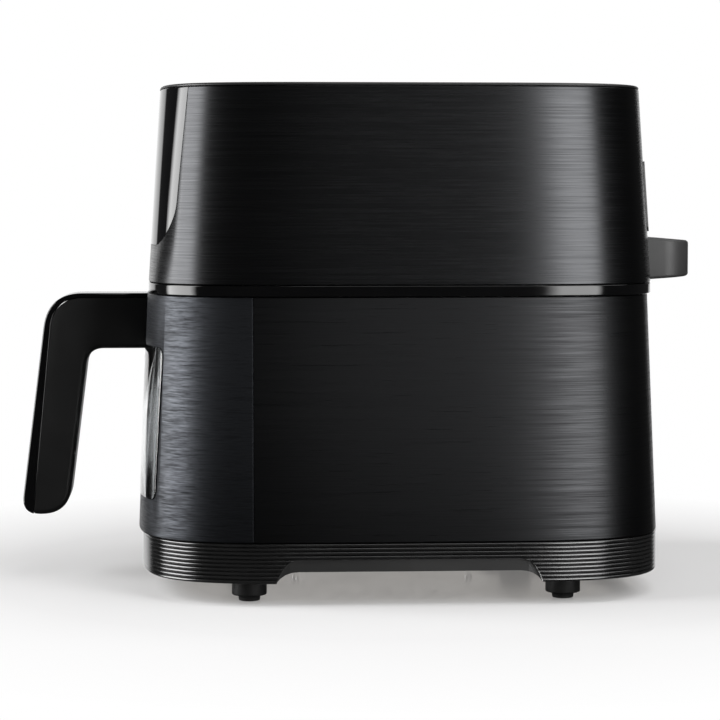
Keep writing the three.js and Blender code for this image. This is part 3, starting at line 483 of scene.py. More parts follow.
def polished_steel(name, dark, light, roughness):
    """Bright steel, drawn or turned, with hair scratches and a faint oily film."""
    material = shader(name, Metallic=1.0)
    tree = material[1]
    film = grain(tree, (70, 70, 70), 5, 0.6)
    scratches = grain(tree, (3500, 90, 700), 3, 0.7)
    shine = spread(tree, film, 0.3, 0.7, roughness * 0.7, roughness * 1.3)
    return surface(material, tint(tree, film, 0.3, 0.7, dark, light), shine, scratches, 1.5e-6)


screw_steel = polished_steel("screw_steel", (0.5, 0.5, 0.51), (0.68, 0.68, 0.69), 0.28)
screw_low, screw_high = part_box("base_screw_rear_right")
head_radius = (screw_high.x - screw_low.x) / 2
head_depth = 2 * mm


def cross_screw(name, head_radius, head_depth, shank_radius, length, thread_pitch=0.8 * mm):
    """A pan-head screw along +Z, head down, with a cross recess and a ridged thread."""
    outline = [(0, 0), (head_radius * 0.7, 0), (head_radius * 0.93, head_depth * 0.25)]
    outline += [(head_radius, head_depth * 0.6), (head_radius, head_depth), (shank_radius, head_depth)]
    turns = int((length - head_depth - thread_pitch) / thread_pitch)
    for ridge in range(turns):
        height = head_depth + (ridge + 0.5) * thread_pitch
        outline += [(shank_radius * 0.82, height), (shank_radius, height + thread_pitch / 2)]
    outline += [(shank_radius * 0.8, length - thread_pitch), (0, length)]
    screw = lathed(name, outline, 24)
    arm, slot = head_radius * 0.6, head_radius * 0.16
    floor = head_depth / 2
    for half_x, half_y in ((arm, slot), (slot, arm)):
        outline = [(-half_y, -mm), (half_y, -mm), (half_y, floor), (-half_y, floor)]
        carve(screw, prism(outline, "X", -half_x, half_x))
    return screw


screw = cross_screw("base_screws", head_radius, head_depth, 1.5 * mm, screw_high.z - screw_low.z)
for vertex in screw.data.vertices:
    vertex.co.z += screw_low.z
at_corners(screw, screw_low, screw_high, screw_steel)
clad(settle(screw, 30), "housing", screw_steel, "steel", *("base_screw_" + c for c in corners))

# ---- Lower shell ----------------------------------------------------------------------------------
# The rear two thirds of the lower body: one sheet of black stainless, brushed sideways, bent to the
# plan curve with a slight draft, its edges folded over. It hooks over the tray and under the band.
shell_low, shell_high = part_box("lower_shell")
lower_draft = 6.1 * mm
wall = 2.4 * mm
fold = 0.7 * mm  # radius of the folded edges
seam = middle - shell_low.y  # the parting line between shell and drawer, before the middle
cord_hole = 6.5 * mm


def plan_arc(inset, height, part="whole", proud=0.0, seam=0.0):
    """Points along the plan curve: the whole of it, or what is before or behind the seam."""
    depth = half_depth - inset
    if part == "whole":
        turns = [math.tau * i / plan_steps for i in range(plan_steps)]
    else:
        front = part == "front"
        edge = math.asin((seam / (depth + (proud if front else 0))) ** (plan_power / 2))
        first, last = (edge - math.pi, -edge) if front else (-edge, math.pi + edge)
        turns = [first + (last - first) * i / plan_steps for i in range(plan_steps + 1)]
    points = []
    for turn in turns:
        across, along = math.cos(turn), math.sin(turn)
        x = (half_width - inset) * math.copysign(abs(across) ** (2 / plan_power), across)
        reach = depth + (proud if along < 0 else 0)
        y = reach * math.copysign(abs(along) ** (2 / plan_power), along)
        points.append(Vector((x, middle + y, height)))
    return points


def wall_section(floor, top, draft, thickness, lip, outside=0.0):
    """Inset and height pairs round a drafted wall with rounded lips: up its outer face, down inside."""
    points = []
    for step in range(5):
        turn = step * math.pi / 8
        points.append((outside + lip * (1 - math.sin(turn)), floor + lip * (1 - math.cos(turn))))
    for step in range(5):
        turn = step * math.pi / 8
        points.append((outside + lip * (1 - math.cos(turn)), top - lip * (1 - math.sin(turn))))
    points += [(outside + thickness, top), (outside + thickness, floor)]
    return [(inset + draft(height), height) for inset, height in points]


def walled(name, section, part="whole", proud=0.0, seam=0.0):
    """A wall section carried round the plan curve into one closed body."""
    form = bmesh.new()
    rings = []
    for inset, height in section:
        rings.append([form.verts.new(p) for p in plan_arc(inset, height, part, proud, seam)])
    for i, low in enumerate(rings):
        high = rings[(i + 1) % len(rings)]
        for j in range(len(low) - (part != "whole")):
            k = (j + 1) % len(low)
            form.faces.new((low[j], low[k], high[k], high[j]))
    if part != "whole":
        form.faces.new([ring[0] for ring in rings])
        form.faces.new([ring[-1] for ring in rings])
    return body_from(name, form)


def lower_inset(height):
    return lower_draft * (height - skirt_high.z) / (band_low.z - skirt_high.z)


def ease_edges(piece, width, steps=2, over=50):
    """A small round on every edge sharper than `over` degrees."""
    bevel = piece.modifiers.new("ease", "BEVEL")
    bevel.width = width
    bevel.segments = steps
    bevel.limit_method = "ANGLE"
    bevel.angle_limit = math.radians(over)


def rounded_outline(left, right, floor, top, radius, steps=10):
    """Corners of a rectangle with rounded corners, anticlockwise."""
    points = []
    centres = ((right, floor, -1, 1), (right, top, -1, -1), (left, top, 1, -1), (left, floor, 1, 1))
    for index, (x, z, inward_x, inward_z) in enumerate(centres):
        for step in range(steps + 1):
            turn = (index - 1 + step / steps) * math.pi / 2
            x_here = x + inward_x * radius + radius * math.cos(turn)
            points.append((x_here, z + inward_z * radius + radius * math.sin(turn)))
    return points


def brushed_black(name, hairs, bands, dark, light, roughness, depth, waviness=0.0):
    """Black-coated stainless brushed sideways. Hairs and bands are the cells per metre, along and
    across the brushing, of the fine lines and of the broader streaks."""
    material = made, tree, principled = shader(name, Metallic=1.0, Anisotropic=0.2)
    fine = grain(tree, (hairs[0], hairs[0], hairs[1]), 3, 0.6, waviness)
    broad = grain(tree, (bands[0], bands[0], bands[1]), 4, 0.6, waviness)
    streaks = weighted(tree, fine, broad, 0.5)
    around = node(tree, "ShaderNodeTangent", {"direction_type": "RADIAL", "axis": "Z"}).outputs[0]
    tree.links.new(around, principled.inputs["Tangent"])
    shine = spread(tree, streaks, 0.35, 0.65, roughness * 1.25, roughness * 0.8)
    return surface(material, tint(tree, streaks, 0.38, 0.62, dark, light), shine, streaks, depth)


shell_black = brushed_black(
    "shell_black", (30, 2800), (10, 1100), (0.018, 0.0183, 0.019), (0.033, 0.0335, 0.035), 0.33, 4e-6
)
section = wall_section(shell_low.z, shell_high.z, lower_inset, wall, fold)
shell = walled("brushed_lower_shell", section, "rear", seam=seam)
gland_low, gland_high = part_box("cord_gland")
gland_x, gland_z = (gland_low.x + gland_high.x) / 2, (gland_low.z + gland_high.z) / 2
turns = [math.tau * i / 40 for i in range(40)]
outline = [(gland_x + cord_hole * math.cos(t), gland_z + cord_hole * math.sin(t)) for t in turns]
carve(shell, prism(outline, "Y", middle, 1))
clad(settle(shell), "housing", shell_black, "brushed_black", "lower_shell")

# ---- Cord gland -----------------------------------------------------------------------------------
# A soft black bush in the rear wall that the mains lead passes through, moulded with a round flange
# and a bell mouth; it is pushed in from outside and held by its flange.
gland_reach = gland_high.y - gland_low.y
flange_radius = (gland_high.x - gland_low.x) / 2
bush_radius = cord_hole - 0.3 * mm
bore = cord_hole / 2
flange_foot = gland_reach / 2 + 1 * mm
flange_head = gland_reach / 2 + 4 * mm


def ringed(name, outline, sides=48):
    """A ring turned round +Z from a closed outline of (radius, height) points."""
    form = bmesh.new()
    rings = []
    for radius, height in outline:
        rings.append([form.verts.new(point) for point in circle(radius, height, sides)])
    for i, low in enumerate(rings):
        high = rings[(i + 1) % len(rings)]
        for j in range(sides):
            k = (j + 1) % sides
            form.faces.new((low[j], low[k], high[k], high[j]))
    return body_from(name, form)


gland = ringed(
    "cord_bush",
    [
        (bore, 0),
        (bush_radius, 0),
        (bush_radius, flange_foot),
        (flange_radius, flange_foot),
        (flange_radius, flange_head - 0.8 * mm),
        (flange_radius - 0.8 * mm, flange_head),
        (bush_radius, flange_head),
        (bush_radius - 0.4 * mm, gland_reach - 0.6 * mm),
        (bush_radius - 1.0 * mm, gland_reach),
        (bore + 1.2 * mm, gland_reach),
        (bore + 0.3 * mm, gland_reach - 1.2 * mm),
        (bore, gland_reach - 3 * mm),
    ],
)
for vertex in gland.data.vertices:
    x, y, z = vertex.co
    vertex.co = (gland_x - x, gland_low.y + z, gland_z + y)
clad(settle(gland), "housing", foot_rubber, "rubber", "cord_gland")

# ---- Chamber lining, rails, catches and drawer switch ---------------------------------------------
# The cooking chamber is a folded tub of zinc-coated sheet with a flange at its mouth. Folded steel
# rails and bent leaf catches are spot-welded inside it; a white microswitch sits behind its rear wall.
lining_zinc = zinc_sheet("lining_zinc", (0.34, 0.33, 0.32), (0.55, 0.54, 0.53), 0.36)
dress(["chamber_lining"], lining_zinc)
rail_steel = polished_steel("rail_steel", (0.42, 0.42, 0.43), (0.6, 0.6, 0.61), 0.3)
sides = ("left", "right")
dress(["rail_" + side for side in sides], rail_steel)
dress(["catch_spring_" + side for side in sides], rail_steel)
switch_white = moulded_plastic("switch_white", (0.55, 0.54, 0.5), (0.7, 0.69, 0.66), 0.4, 3e-6)
dress(["drawer_switch", "switch_plunger"], switch_white)

# ---- Drawer front ---------------------------------------------------------------------------------
# A pressed sheet of the same black stainless, brushed more coarsely, that bulges a little past the
# shell and wraps round both front corners to the seam. A wide window is cut in its face.
front_low, front_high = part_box("drawer_front")
pane_low, pane_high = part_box("window_pane")
front_proud = 2.5 * mm
front_seam = middle - front_high.y
gap = 0.3 * mm
window_half = pane_high.x + gap
window_corner = 6 * mm
pressed_edge = 0.35 * mm  # the small round on an opening's pressed edge


def window_tool(grow):
    """What the drawer's window takes out, its outline grown by `grow`."""
    outline = rounded_outline(
        -window_half - grow,
        window_half + grow,
        pane_low.z - gap - grow,
        pane_high.z + gap + grow,
        window_corner + grow,
    )
    return prism(outline, "Y", -1, middle - front_seam - 2 * wall)


front_black = brushed_black(
    "front_black",
    (110, 1700),
    (45, 800),
    (0.014, 0.0148, 0.0165),
    (0.046, 0.0488, 0.0545),
    0.4,
    8e-6,
    0.2,
)
section = wall_section(front_low.z, front_high.z, lower_inset, wall, fold)
front = walled("brushed_drawer_front", section, "front", front_proud, front_seam)
carve(front, window_tool(0))
ease_edges(front, pressed_edge)
clad(settle(front), "drawer", front_black, "brushed_black", "drawer_front")

# ---- Window pane ----------------------------------------------------------------------------------
# A clear moulded pane, bent to the drawer's front and set nearly flush in its opening with a rounded
# rim. It clips in from behind, with the pan's own glass some way behind it.
pane_thickness = 3.5 * mm
pane_rim = 0.9 * mm
pane_proud = 0.5 * mm


def clear_glass(name, colour, roughness):
    """Clear glass or polycarbonate with faint moulding ripples and a trace of smears."""
    material = shader(name, Transmission_Weight=1.0, IOR=1.5, Base_Color=(*colour, 1))
    tree = material[1]
    smears = grain(tree, (40, 40, 25), 4, 0.6)
    shine = spread(tree, smears, 0.45, 0.75, roughness, roughness + 0.06)
    return surface(material, None, shine, grain(tree, (35, 35, 35), 2), 4e-5)


def lower_pane_inset(height):
    return lower_inset(height) - pane_proud


pane_clear = clear_glass("pane_clear", (0.93, 0.95, 0.96), 0.01)
section = wall_section(skirt_high.z, band_low.z, lower_pane_inset, pane_thickness, fold)
pane = walled("clear_window_pane", section, "front", front_proud, front_seam)
carve(pane, window_tool(-gap), "INTERSECT")
ease_edges(pane, pane_rim, 4)
clad(settle(pane), "drawer", pane_clear, "clear_glass", "window_pane")
frame_black = moulded_plastic("frame_black", (0.012, 0.012, 0.012), (0.02, 0.02, 0.02), 0.4, 4e-6)
dress(["front_frame"], frame_black)

# ---- Handle ---------------------------------------------------------------------------------------
# A long black grip hangs from a short arm at the top of the drawer front and leans outwards. Its body
# is satin nylon with soft edges; a glossy cover snaps over the arm's top and down the outer face.
grip_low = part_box("handle_grip")[0]
cover_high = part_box("handle_cover")[1]
arm_top = cover_high.z
arm_height = 35.2 * mm
handle_drop = arm_top - grip_low.z
handle_half = cover_high.x
handle_reach = 64 * mm
handle_round = 3.5 * mm
cover_round = 1.2 * mm
seam_round = 0.3 * mm  # on the edges where the grip and the cover meet
handle_bend = 22 * mm
grip_thickness = 30 * mm
grip_lean = 0.126
grip_corner = 10 * mm
toe_round = 12.4 * mm
heel_round = 17 * mm
cover_thickness = 4 * mm
cover_top = 3.2 * mm
cover_flare = 0.03
root_sink = 0.8 * mm  # how far the handle's root stays off the drawer front's face


def front_face(height):
    return middle - (half_depth + front_proud - lower_inset(height))


def grip_outer(height):
    return front_face(arm_top) - handle_reach - grip_lean * (arm_top - height)


def grip_inner(height):
    return grip_outer(height) + grip_thickness


def cover_inner(height):
    return grip_outer(height) + cover_thickness + cover_flare * (arm_top - height)


def handle_blank(name, rounding):
    """Grip and cover in one: the side outline, run across, with its long edges rounded."""
    bottom, arm_foot = arm_top - handle_drop, arm_top - arm_height
    root = front_face(arm_top) + handle_round + mm
    outline = [(root, arm_top)]
    outline += bend_between(
        (grip_outer(arm_top) + handle_bend, arm_top),
        (grip_outer(arm_top), arm_top),
        (grip_outer(arm_top - handle_bend), arm_top - handle_bend),
        14,
    )
    outline += bend_between(
        (grip_outer(bottom + toe_round), bottom + toe_round),
        (grip_outer(bottom), bottom),
        (grip_outer(bottom) + toe_round, bottom),
        12,
    )
    outline += bend_between(
        (grip_inner(bottom) - heel_round, bottom),
        (grip_inner(bottom), bottom),
        (grip_inner(bottom + heel_round), bottom + heel_round),
        12,
    )
    outline += bend_between(
        (grip_inner(arm_foot - grip_corner), arm_foot - grip_corner),
        (grip_inner(arm_foot), arm_foot),
        (grip_inner(arm_foot) + grip_corner, arm_foot),
        12,
    )
    outline.append((root, arm_foot))
    blank = prism(outline, "X", -handle_half, handle_half)
    blank.name = name
    ease_edges(blank, rounding, 6, 60)
    settle(blank)
    return blank


def grip_tool(shift):
    """All that lies inwards of the seam between grip and cover, or of that seam moved out."""
    top = arm_top - cover_top + shift
    bend = handle_bend - cover_top
    outline = [(1, -1), (1, top)]
    outline += bend_between(
        (cover_inner(top) - shift + bend, top),
        (cover_inner(top) - shift, top),
        (cover_inner(top - bend) - shift, top - bend),
        16,
    )
    outline.append((cover_inner(-1) - shift, -1))
    return prism(outline, "X", -2 * handle_half, 2 * handle_half)


def front_core():
    """The drawer front's outer surface and a hair more, filled, to fit the handle's root to."""
    core_heights = (skirt_high.z, band_high.z)
    rings = [plan_arc(lower_inset(z) - root_sink, z, proud=front_proud) for z in core_heights]
    return capped_loft("front_core", rings)


grip_black = moulded_plastic(
    "grip_black", (0.0022, 0.0022, 0.0022), (0.0045, 0.0045, 0.0045), 0.45, 5e-6, Specular_IOR_Level=0.4
)
grip = handle_blank("satin_handle_grip", handle_round)
carve(grip, front_core())
carve(grip, grip_tool(0), "INTERSECT")
ease_edges(grip, seam_round, 2, 60)
clad(settle(grip), "drawer", grip_black, "satin_black", "handle_grip")
gloss_black = moulded_plastic("gloss_black", (0.001, 0.001, 0.0011), (0.0018, 0.0018, 0.002), 0.09, 5e-7)
cover = handle_blank("gloss_handle_cover", cover_round)
carve(cover, front_core())
carve(cover, grip_tool(gap))
ease_edges(cover, seam_round, 2, 60)
clad(settle(cover), "drawer", gloss_black, "gloss_black", "handle_cover")

# Two cross-headed screws pull the arm against the drawer front from inside the drawer.
for which in ("lower", "upper"):
    low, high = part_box("handle_screw_" + which)
    screw = cross_screw("handle_fixing_" + which, (high.x - low.x) / 2, 2.5 * mm, 2 * mm, high.y - low.y, mm)
    for vertex in screw.data.vertices:
        x, y, z = vertex.co
        vertex.co = ((low.x + high.x) / 2 + x, high.y - z, (low.z + high.z) / 2 + y)
    clad(settle(screw, 30), "drawer", screw_steel, "steel", "handle_screw_" + which)

# ---- Drawer pan -----------------------------------------------------------------------------------
# A deep-drawn steel pan with round corners and a rolled rim that rides on the rails, coated inside
# and out with grey-black non-stick. Its front wall has an opening closed by a flat sheet of glass.
pan_low, pan_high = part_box("drawer_pan")
rim_width = 5 * mm
pan_half = pan_high.x - rim_width
pan_front = pan_low.y + rim_width
pan_rear = pan_high.y - rim_width
pan_corner = 24 * mm
pan_wall = 1.6 * mm
pan_fillet = 9 * mm
pan_window_corner = 8 * mm


def pan_ring(grow, height):
    half, corner = pan_half + grow, max(pan_corner + grow, mm)
    outline = rounded_outline(-half, half, pan_front - grow, pan_rear + grow, corner, 12)
    return [(x, y, height) for x, y in outline]


def quarter(steps=6):
    return [(math.sin(i * math.pi / 2 / steps), math.cos(i * math.pi / 2 / steps)) for i in range(steps + 1)]


def non_stick(name, dark, light):
    """Sprayed non-stick coating: satin grey-black with fine pale fleck and slight orange peel."""
    material = shader(name, Metallic=0.25)
    tree = material[1]
    fleck = grain(tree, (1800, 1800, 1800), 1, 0.4)
    cloud = grain(tree, (35, 35, 35), 4)
    colour = tint(tree, weighted(tree, fleck, cloud, 0.6), 0.45, 0.72, dark, light)
    shine = spread(tree, cloud, 0.3, 0.7, 0.32, 0.46)
    return surface(material, colour, shine, grain(tree, (900, 900, 900), 2), 8e-6)


pan_coat = non_stick("pan_coat", (0.018, 0.018, 0.019), (0.075, 0.075, 0.078))
outer, inner = pan_fillet, pan_fillet - pan_wall
rings = [pan_ring(-outer * (1 - s), pan_low.z + outer * (1 - c)) for s, c in quarter()]
rolled_rim = (
    (0, 2 * pan_wall),
    (0.4 * mm, 1.3 * pan_wall),
    (1.6 * mm, pan_wall),
    (rim_width - 0.8 * mm, pan_wall),
    (rim_width - 0.2 * mm, 0.75 * pan_wall),
    (rim_width, 0.5 * pan_wall),
    (rim_width - 0.3 * mm, 0.15 * pan_wall),
    (rim_width - 0.9 * mm, 0),
    (0, 0),
    (-pan_wall + 0.3 * mm, 0.4 * mm),
    (-pan_wall, 1.2 * mm),
)
rings += [pan_ring(grow, pan_high.z - drop) for grow, drop in rolled_rim]
pan_floor = pan_low.z + pan_wall
rings += [pan_ring(-pan_wall - inner * (1 - s), pan_floor + inner * (1 - c)) for s, c in reversed(quarter())]
pan = capped_loft("drawer_pan_coated", rings)
glass_low, glass_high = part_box("pan_glass")
left, right = glass_low.x - gap, glass_high.x + gap
opening = rounded_outline(left, right, glass_low.z - gap, glass_high.z + gap, pan_window_corner)
carve(pan, prism(opening, "Y", pan_front - 5 * mm, pan_front + 5 * mm))
clad(settle(pan), "drawer", pan_coat, "non_stick", "drawer_pan")
dress(["pan_glass"], clear_glass("pan_glass_clear", (0.9, 0.94, 0.92), 0.015))

# ---- Crisper plate --------------------------------------------------------------------------------
# A loose sheet with staggered round perforations and a turned-down edge, in the same coating. It
# stands on rubber bumpers and lifts out by a wire loop riveted at its middle.
crisp_low, crisp_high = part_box("crisper_plate")
plate_corner = 18.4 * mm
hole_radius = 4.5 * mm
hole_pitch = 17 * mm
hole_border = 15 * mm
hole_rows = 0.866  # pitches from row to row, so that staggered holes stand evenly
loop_clearance = 13 * mm  # no holes this close to the lifting loop

punched, given = recipe(
    "punched_holes", Float="Hole Radius, Pitch, Half X, Half Y, Clear Middle, Height", Vector="Middle"
)
pitch = given["Pitch"]
columns = math_of(punched, "FLOOR", math_of(punched, "DIVIDE", given["Half X"], pitch))
row_pitch = math_of(punched, "MULTIPLY", pitch, hole_rows)
rows = math_of(punched, "FLOOR", math_of(punched, "DIVIDE", given["Half Y"], row_pitch))
count_x = math_of(punched, "ADD", math_of(punched, "MULTIPLY", columns, 2), 1)
count_y = math_of(punched, "ADD", math_of(punched, "MULTIPLY", rows, 2), 1)
grid = node(
    punched,
    "GeometryNodeMeshGrid",
    Size_X=math_of(punched, "MULTIPLY", math_of(punched, "SUBTRACT", count_x, 1), pitch),
    Size_Y=math_of(punched, "MULTIPLY", math_of(punched, "SUBTRACT", count_y, 1), row_pitch),
    Vertices_X=count_x,
    Vertices_Y=count_y,
)
here = node(punched, "ShaderNodeSeparateXYZ", Vector=node(punched, "GeometryNodeInputPosition").outputs[0])
row = math_of(punched, "ROUND", math_of(punched, "DIVIDE", here.outputs[1], row_pitch))
odd = math_of(punched, "ABSOLUTE", math_of(punched, "MODULO", row, 2))
sideways = math_of(punched, "MULTIPLY", odd, math_of(punched, "MULTIPLY", pitch, 0.5))
offset = node(punched, "ShaderNodeCombineXYZ", X=sideways, Y=0.0, Z=0.0).outputs[0]
staggered = node(punched, "GeometryNodeSetPosition", Geometry=grid.outputs[0], Offset=offset)
# Holes too near the loop's foot, or past the last whole column, are left out.
here = node(punched, "ShaderNodeSeparateXYZ", Vector=node(punched, "GeometryNodeInputPosition").outputs[0])
from_middle = node(
    punched,
    "ShaderNodeVectorMath",
    {"operation": "LENGTH"},
    i0=node(punched, "GeometryNodeInputPosition").outputs[0],
).outputs["Value"]
near = math_of(punched, "LESS_THAN", from_middle, given["Clear Middle"])
past = math_of(punched, "GREATER_THAN", here.outputs[0], given["Half X"])
kept = node(
    punched,
    "GeometryNodeDeleteGeometry",
    {"domain": "POINT"},
    Geometry=staggered.outputs[0],
    Selection=math_of(punched, "MAXIMUM", near, past),
)
centred = node(punched, "GeometryNodeSetPosition", Geometry=kept.outputs[0], Offset=given["Middle"])
punch = node(
    punched,
    "GeometryNodeMeshCylinder",
    Vertices=20,
    Radius=given["Hole Radius"],
    Depth=given["Height"],
)
punches = node(punched, "GeometryNodeInstanceOnPoints", Points=centred.outputs[0], Instance=punch.outputs[0])
tools = node(punched, "GeometryNodeRealizeInstances", Geometry=punches.outputs[0])
cut = node(punched, "GeometryNodeMeshBoolean", {"operation": "DIFFERENCE", "solver": "EXACT"})
punched.links.new(given[0], cut.inputs["Mesh 1"])
punched.links.new(tools.outputs[0], cut.inputs["Mesh 2"])
serve(punched, given, cut.outputs[0])


def crisp_ring(grow, height):
    left, right, near, far = crisp_low.x - grow, crisp_high.x + grow, crisp_low.y - grow, crisp_high.y + grow
    return [(x, y, height) for x, y in rounded_outline(left, right, near, far, plate_corner + grow)]


crisper = capped_loft(
    "perforated_crisper_plate",
    [
        crisp_ring(-0.4 * mm, crisp_low.z),
        crisp_ring(0, crisp_low.z + 0.4 * mm),
        crisp_ring(0, crisp_high.z - 0.5 * mm),
        crisp_ring(-0.5 * mm, crisp_high.z),
    ],
)
make_by(
    crisper,
    punched,
    {
        "Hole Radius": hole_radius,
        "Pitch": hole_pitch,
        "Half X": crisp_high.x - hole_border,
        "Half Y": (crisp_high.y - crisp_low.y) / 2 - hole_border,
        "Clear Middle": loop_clearance,
        "Height": 10 * mm,
        "Middle": (0, (crisp_low.y + crisp_high.y) / 2, (crisp_low.z + crisp_high.z) / 2),
        "Finish": pan_coat,
    },
)
clad(settle(crisper), "crisper", pan_coat, "non_stick", "crisper_plate")
dress(["plate_bumper_" + c for c in corners], foot_rubber)

tube, given = recipe("tube_along_path", Float="Radius, Step")
line = node(tube, "GeometryNodeMeshToCurve", Mesh=given[0])
by_length = {"mode": "LENGTH"}
even = node(tube, "GeometryNodeResampleCurve", by_length, Curve=line.outputs[0], Length=given["Step"])
rim = node(tube, "GeometryNodeCurvePrimitiveCircle", Resolution=14, Radius=given["Radius"])
swept = node(tube, "GeometryNodeCurveToMesh", Curve=even.outputs[0], Fill_Caps=True)
tube.links.new(rim.outputs[0], swept.inputs["Profile Curve"])
serve(tube, given, swept.outputs[0])


def path_mesh(name, *paths):
    """Polylines of edges for the tube recipe to follow; a path that ends where it starts is closed."""
    points, edges = [], []
    for path in paths:
        first = len(points)
        closed = (Vector(path[0]) - Vector(path[-1])).length < 1e-7
        own = path[:-1] if closed else path
        points += own
        edges += [(first + i, first + i + 1) for i in range(len(own) - 1)]
        if closed:
            edges.append((first + len(own) - 1, first))
    mesh = bpy.data.meshes.new(name)
    mesh.from_pydata(points, edges, [])
    return new_piece(name, mesh)


def tubed(name, radius, step, finish, *paths):
    piece = path_mesh(name, *paths)
    make_by(piece, tube, {"Radius": radius, "Step": step, "Finish": finish})
    settle(piece, 45)
    form = bmesh.new()
    form.from_mesh(piece.data)
    bmesh.ops.recalc_face_normals(form, faces=form.faces)
    form.to_mesh(piece.data)
    form.free()
    return piece


loop_low, loop_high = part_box("plate_grip")
wire = 1.5 * mm
loop_radius = (loop_high.y - loop_low.y) / 2 - wire
loop_steel = polished_steel("loop_steel", (0.5, 0.5, 0.5), (0.7, 0.7, 0.7), 0.22)
loop_y, loop_z = (loop_low.y + loop_high.y) / 2, loop_high.z - wire - loop_radius
turns = [math.tau * i / 48 for i in range(49)]
hoop = [(0, loop_y + loop_radius * math.sin(t), loop_z - loop_radius * math.cos(t)) for t in turns]
loop = tubed("plate_lifting_loop", wire, 1.2 * mm, loop_steel, hoop)
rivet = lathed("rivet", [(0, 0), (7.8 * mm, 0), (8 * mm, 0.5 * mm), (7 * mm, 1.2 * mm), (0, 1.5 * mm)], 40)
for vertex in rivet.data.vertices:
    vertex.co += Vector((0, loop_y, loop_low.z))
carve(loop, rivet, "UNION")
clad(settle(loop, 40), "crisper", loop_steel, "steel", "plate_grip")

# ---- Trim band ------------------------------------------------------------------------------------
# A high-gloss black moulding runs right round between the lower body and the head, standing in from
# both by a shadow gap. It clips to the deck, which closes the cooking chamber off from the head.
band_inset = half_width - band_high.x
band_section = wall_section(band_low.z, band_high.z, lambda height: band_inset, 3 * wall, fold)
band = walled("gloss_trim_band", band_section)
clad(settle(band), "housing", gloss_black, "gloss_black", "trim_band")
dress(["deck"], frame_black)

# ---- Head housing ---------------------------------------------------------------------------------
# The upper body is one more drawn and brushed sheet, tapering a little to the lid, with a large
# opening for the control panel in front and one for the vent grille behind.
head_low, head_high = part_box("head_housing")
lid_low, lid_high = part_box("top_cover")
head_draft = band_high.x - lid_high.x
panel_low, panel_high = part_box("control_panel")
vent_low, vent_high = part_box("vent_grille")
panel_corner = 26 * mm
vent_corner = 4 * mm


def head_inset(height):
    return band_inset + head_draft * (height - band_high.z) / (head_high.z - band_high.z)


def panel_tool(grow):
    half = panel_high.x + gap + grow
    outline = rounded_outline(-half, half, panel_low.z - gap - grow, 1, panel_corner + grow, 16)
    return prism(outline, "Y", -1, middle)


def vent_tool(grow):
    half, floor, top = vent_high.x + gap + grow, vent_low.z - gap - grow, vent_high.z + gap + grow
    outline = rounded_outline(-half, half, floor, top, vent_corner + grow)
    return prism(outline, "Y", middle + half_depth / 2, 1)


head_black = brushed_black(
    "head_black", (30, 3000), (10, 1200), (0.029, 0.0294, 0.0307), (0.044, 0.0447, 0.0466), 0.25, 4e-6
)
head = walled("brushed_head_housing", wall_section(head_low.z, head_high.z, head_inset, wall, fold))
carve(head, panel_tool(0))
carve(head, vent_tool(0))
ease_edges(head, pressed_edge)
clad(settle(head), "housing", head_black, "brushed_black", "head_housing")

# ---- Control panel --------------------------------------------------------------------------------
# A smoked gloss-black touch panel, bent to the head's front and set flush into its opening. The
# controls behind it light up only when it is on, so nothing shows on its face.
panel_gloss = moulded_plastic("panel_gloss", (0.0012, 0.0012, 0.0014), (0.0022, 0.0022, 0.0026), 0.05, 3e-7)
panel = walled("touch_control_panel", wall_section(head_low.z, head_high.z, head_inset, wall, fold))
carve(panel, panel_tool(-gap), "INTERSECT")
ease_edges(panel, 0.6 * mm, 3)
clad(settle(panel), "housing", panel_gloss, "gloss_black", "control_panel")

# ---- Top cover ------------------------------------------------------------------------------------
# A satin black lid closes the head, its edge rounded over and a lip below it dropping inside the
# housing, where it snaps in.
lid_thickness = 2 * mm
lid_edge = 1.6 * mm
lid_base = lid_high.z - lid_thickness + gap
lid_inset = half_width - lid_high.x
lid_ring = [(lid_inset + 0.3 * mm, lid_base), (lid_inset, lid_base + 0.3 * mm)]
for s, c in quarter(5):
    lid_ring.append((lid_inset + lid_edge * (1 - c), lid_high.z - (lid_thickness - gap) * 0.8 * (1 - s)))
lid_lip = lid_inset + wall + gap
lip_section = [(lid_lip + wall, lid_base - gap), (lid_lip + wall, lid_low.z)]
lip_section += [(lid_lip, lid_low.z), (lid_lip, lid_base)]
lid = capped_loft("top_cover_lid", [plan_arc(*pair) for pair in lip_section + lid_ring])
lid_black = moulded_plastic("lid_black", (0.005, 0.005, 0.005), (0.009, 0.009, 0.009), 0.42, 5e-6)
clad(settle(lid), "housing", lid_black, "satin_black", "top_cover")

# ---- Vent grille ----------------------------------------------------------------------------------
# A satin black moulding closes the opening in the head's rear: a frame bent to the plan with five
# louvres, which let the hot air out of the duct behind them.
vent_proud = 0.9 * mm
louvre_count = 5
louvre_border = 6 * mm
louvre_height = 3.4 * mm
slot_corner = 2 * mm
blade_cuts = 48  # across each louvre, so that it can bow with the head's rear

louvres, given = recipe("stacked_louvres", Int="Count", Vector="First, Step")
ladder = node(
    louvres,
    "GeometryNodeMeshLine",
    Count=given["Count"],
    Start_Location=given["First"],
    Offset=given["Step"],
)
copies = node(louvres, "GeometryNodeInstanceOnPoints", Points=ladder.outputs[0], Instance=given[0])
serve(louvres, given, copies.outputs[0])

vent_black = moulded_plastic("vent_black", (0.011, 0.011, 0.011), (0.02, 0.02, 0.02), 0.42, 5e-6)
vent_pitch = (vent_high.z - vent_low.z + 2 * gap) / louvre_count
slot_half = vent_high.x - louvre_border


def vent_wall(name, outside):
    return walled(name, wall_section(head_low.z, head_high.z, head_inset, wall + vent_proud, fold, outside))


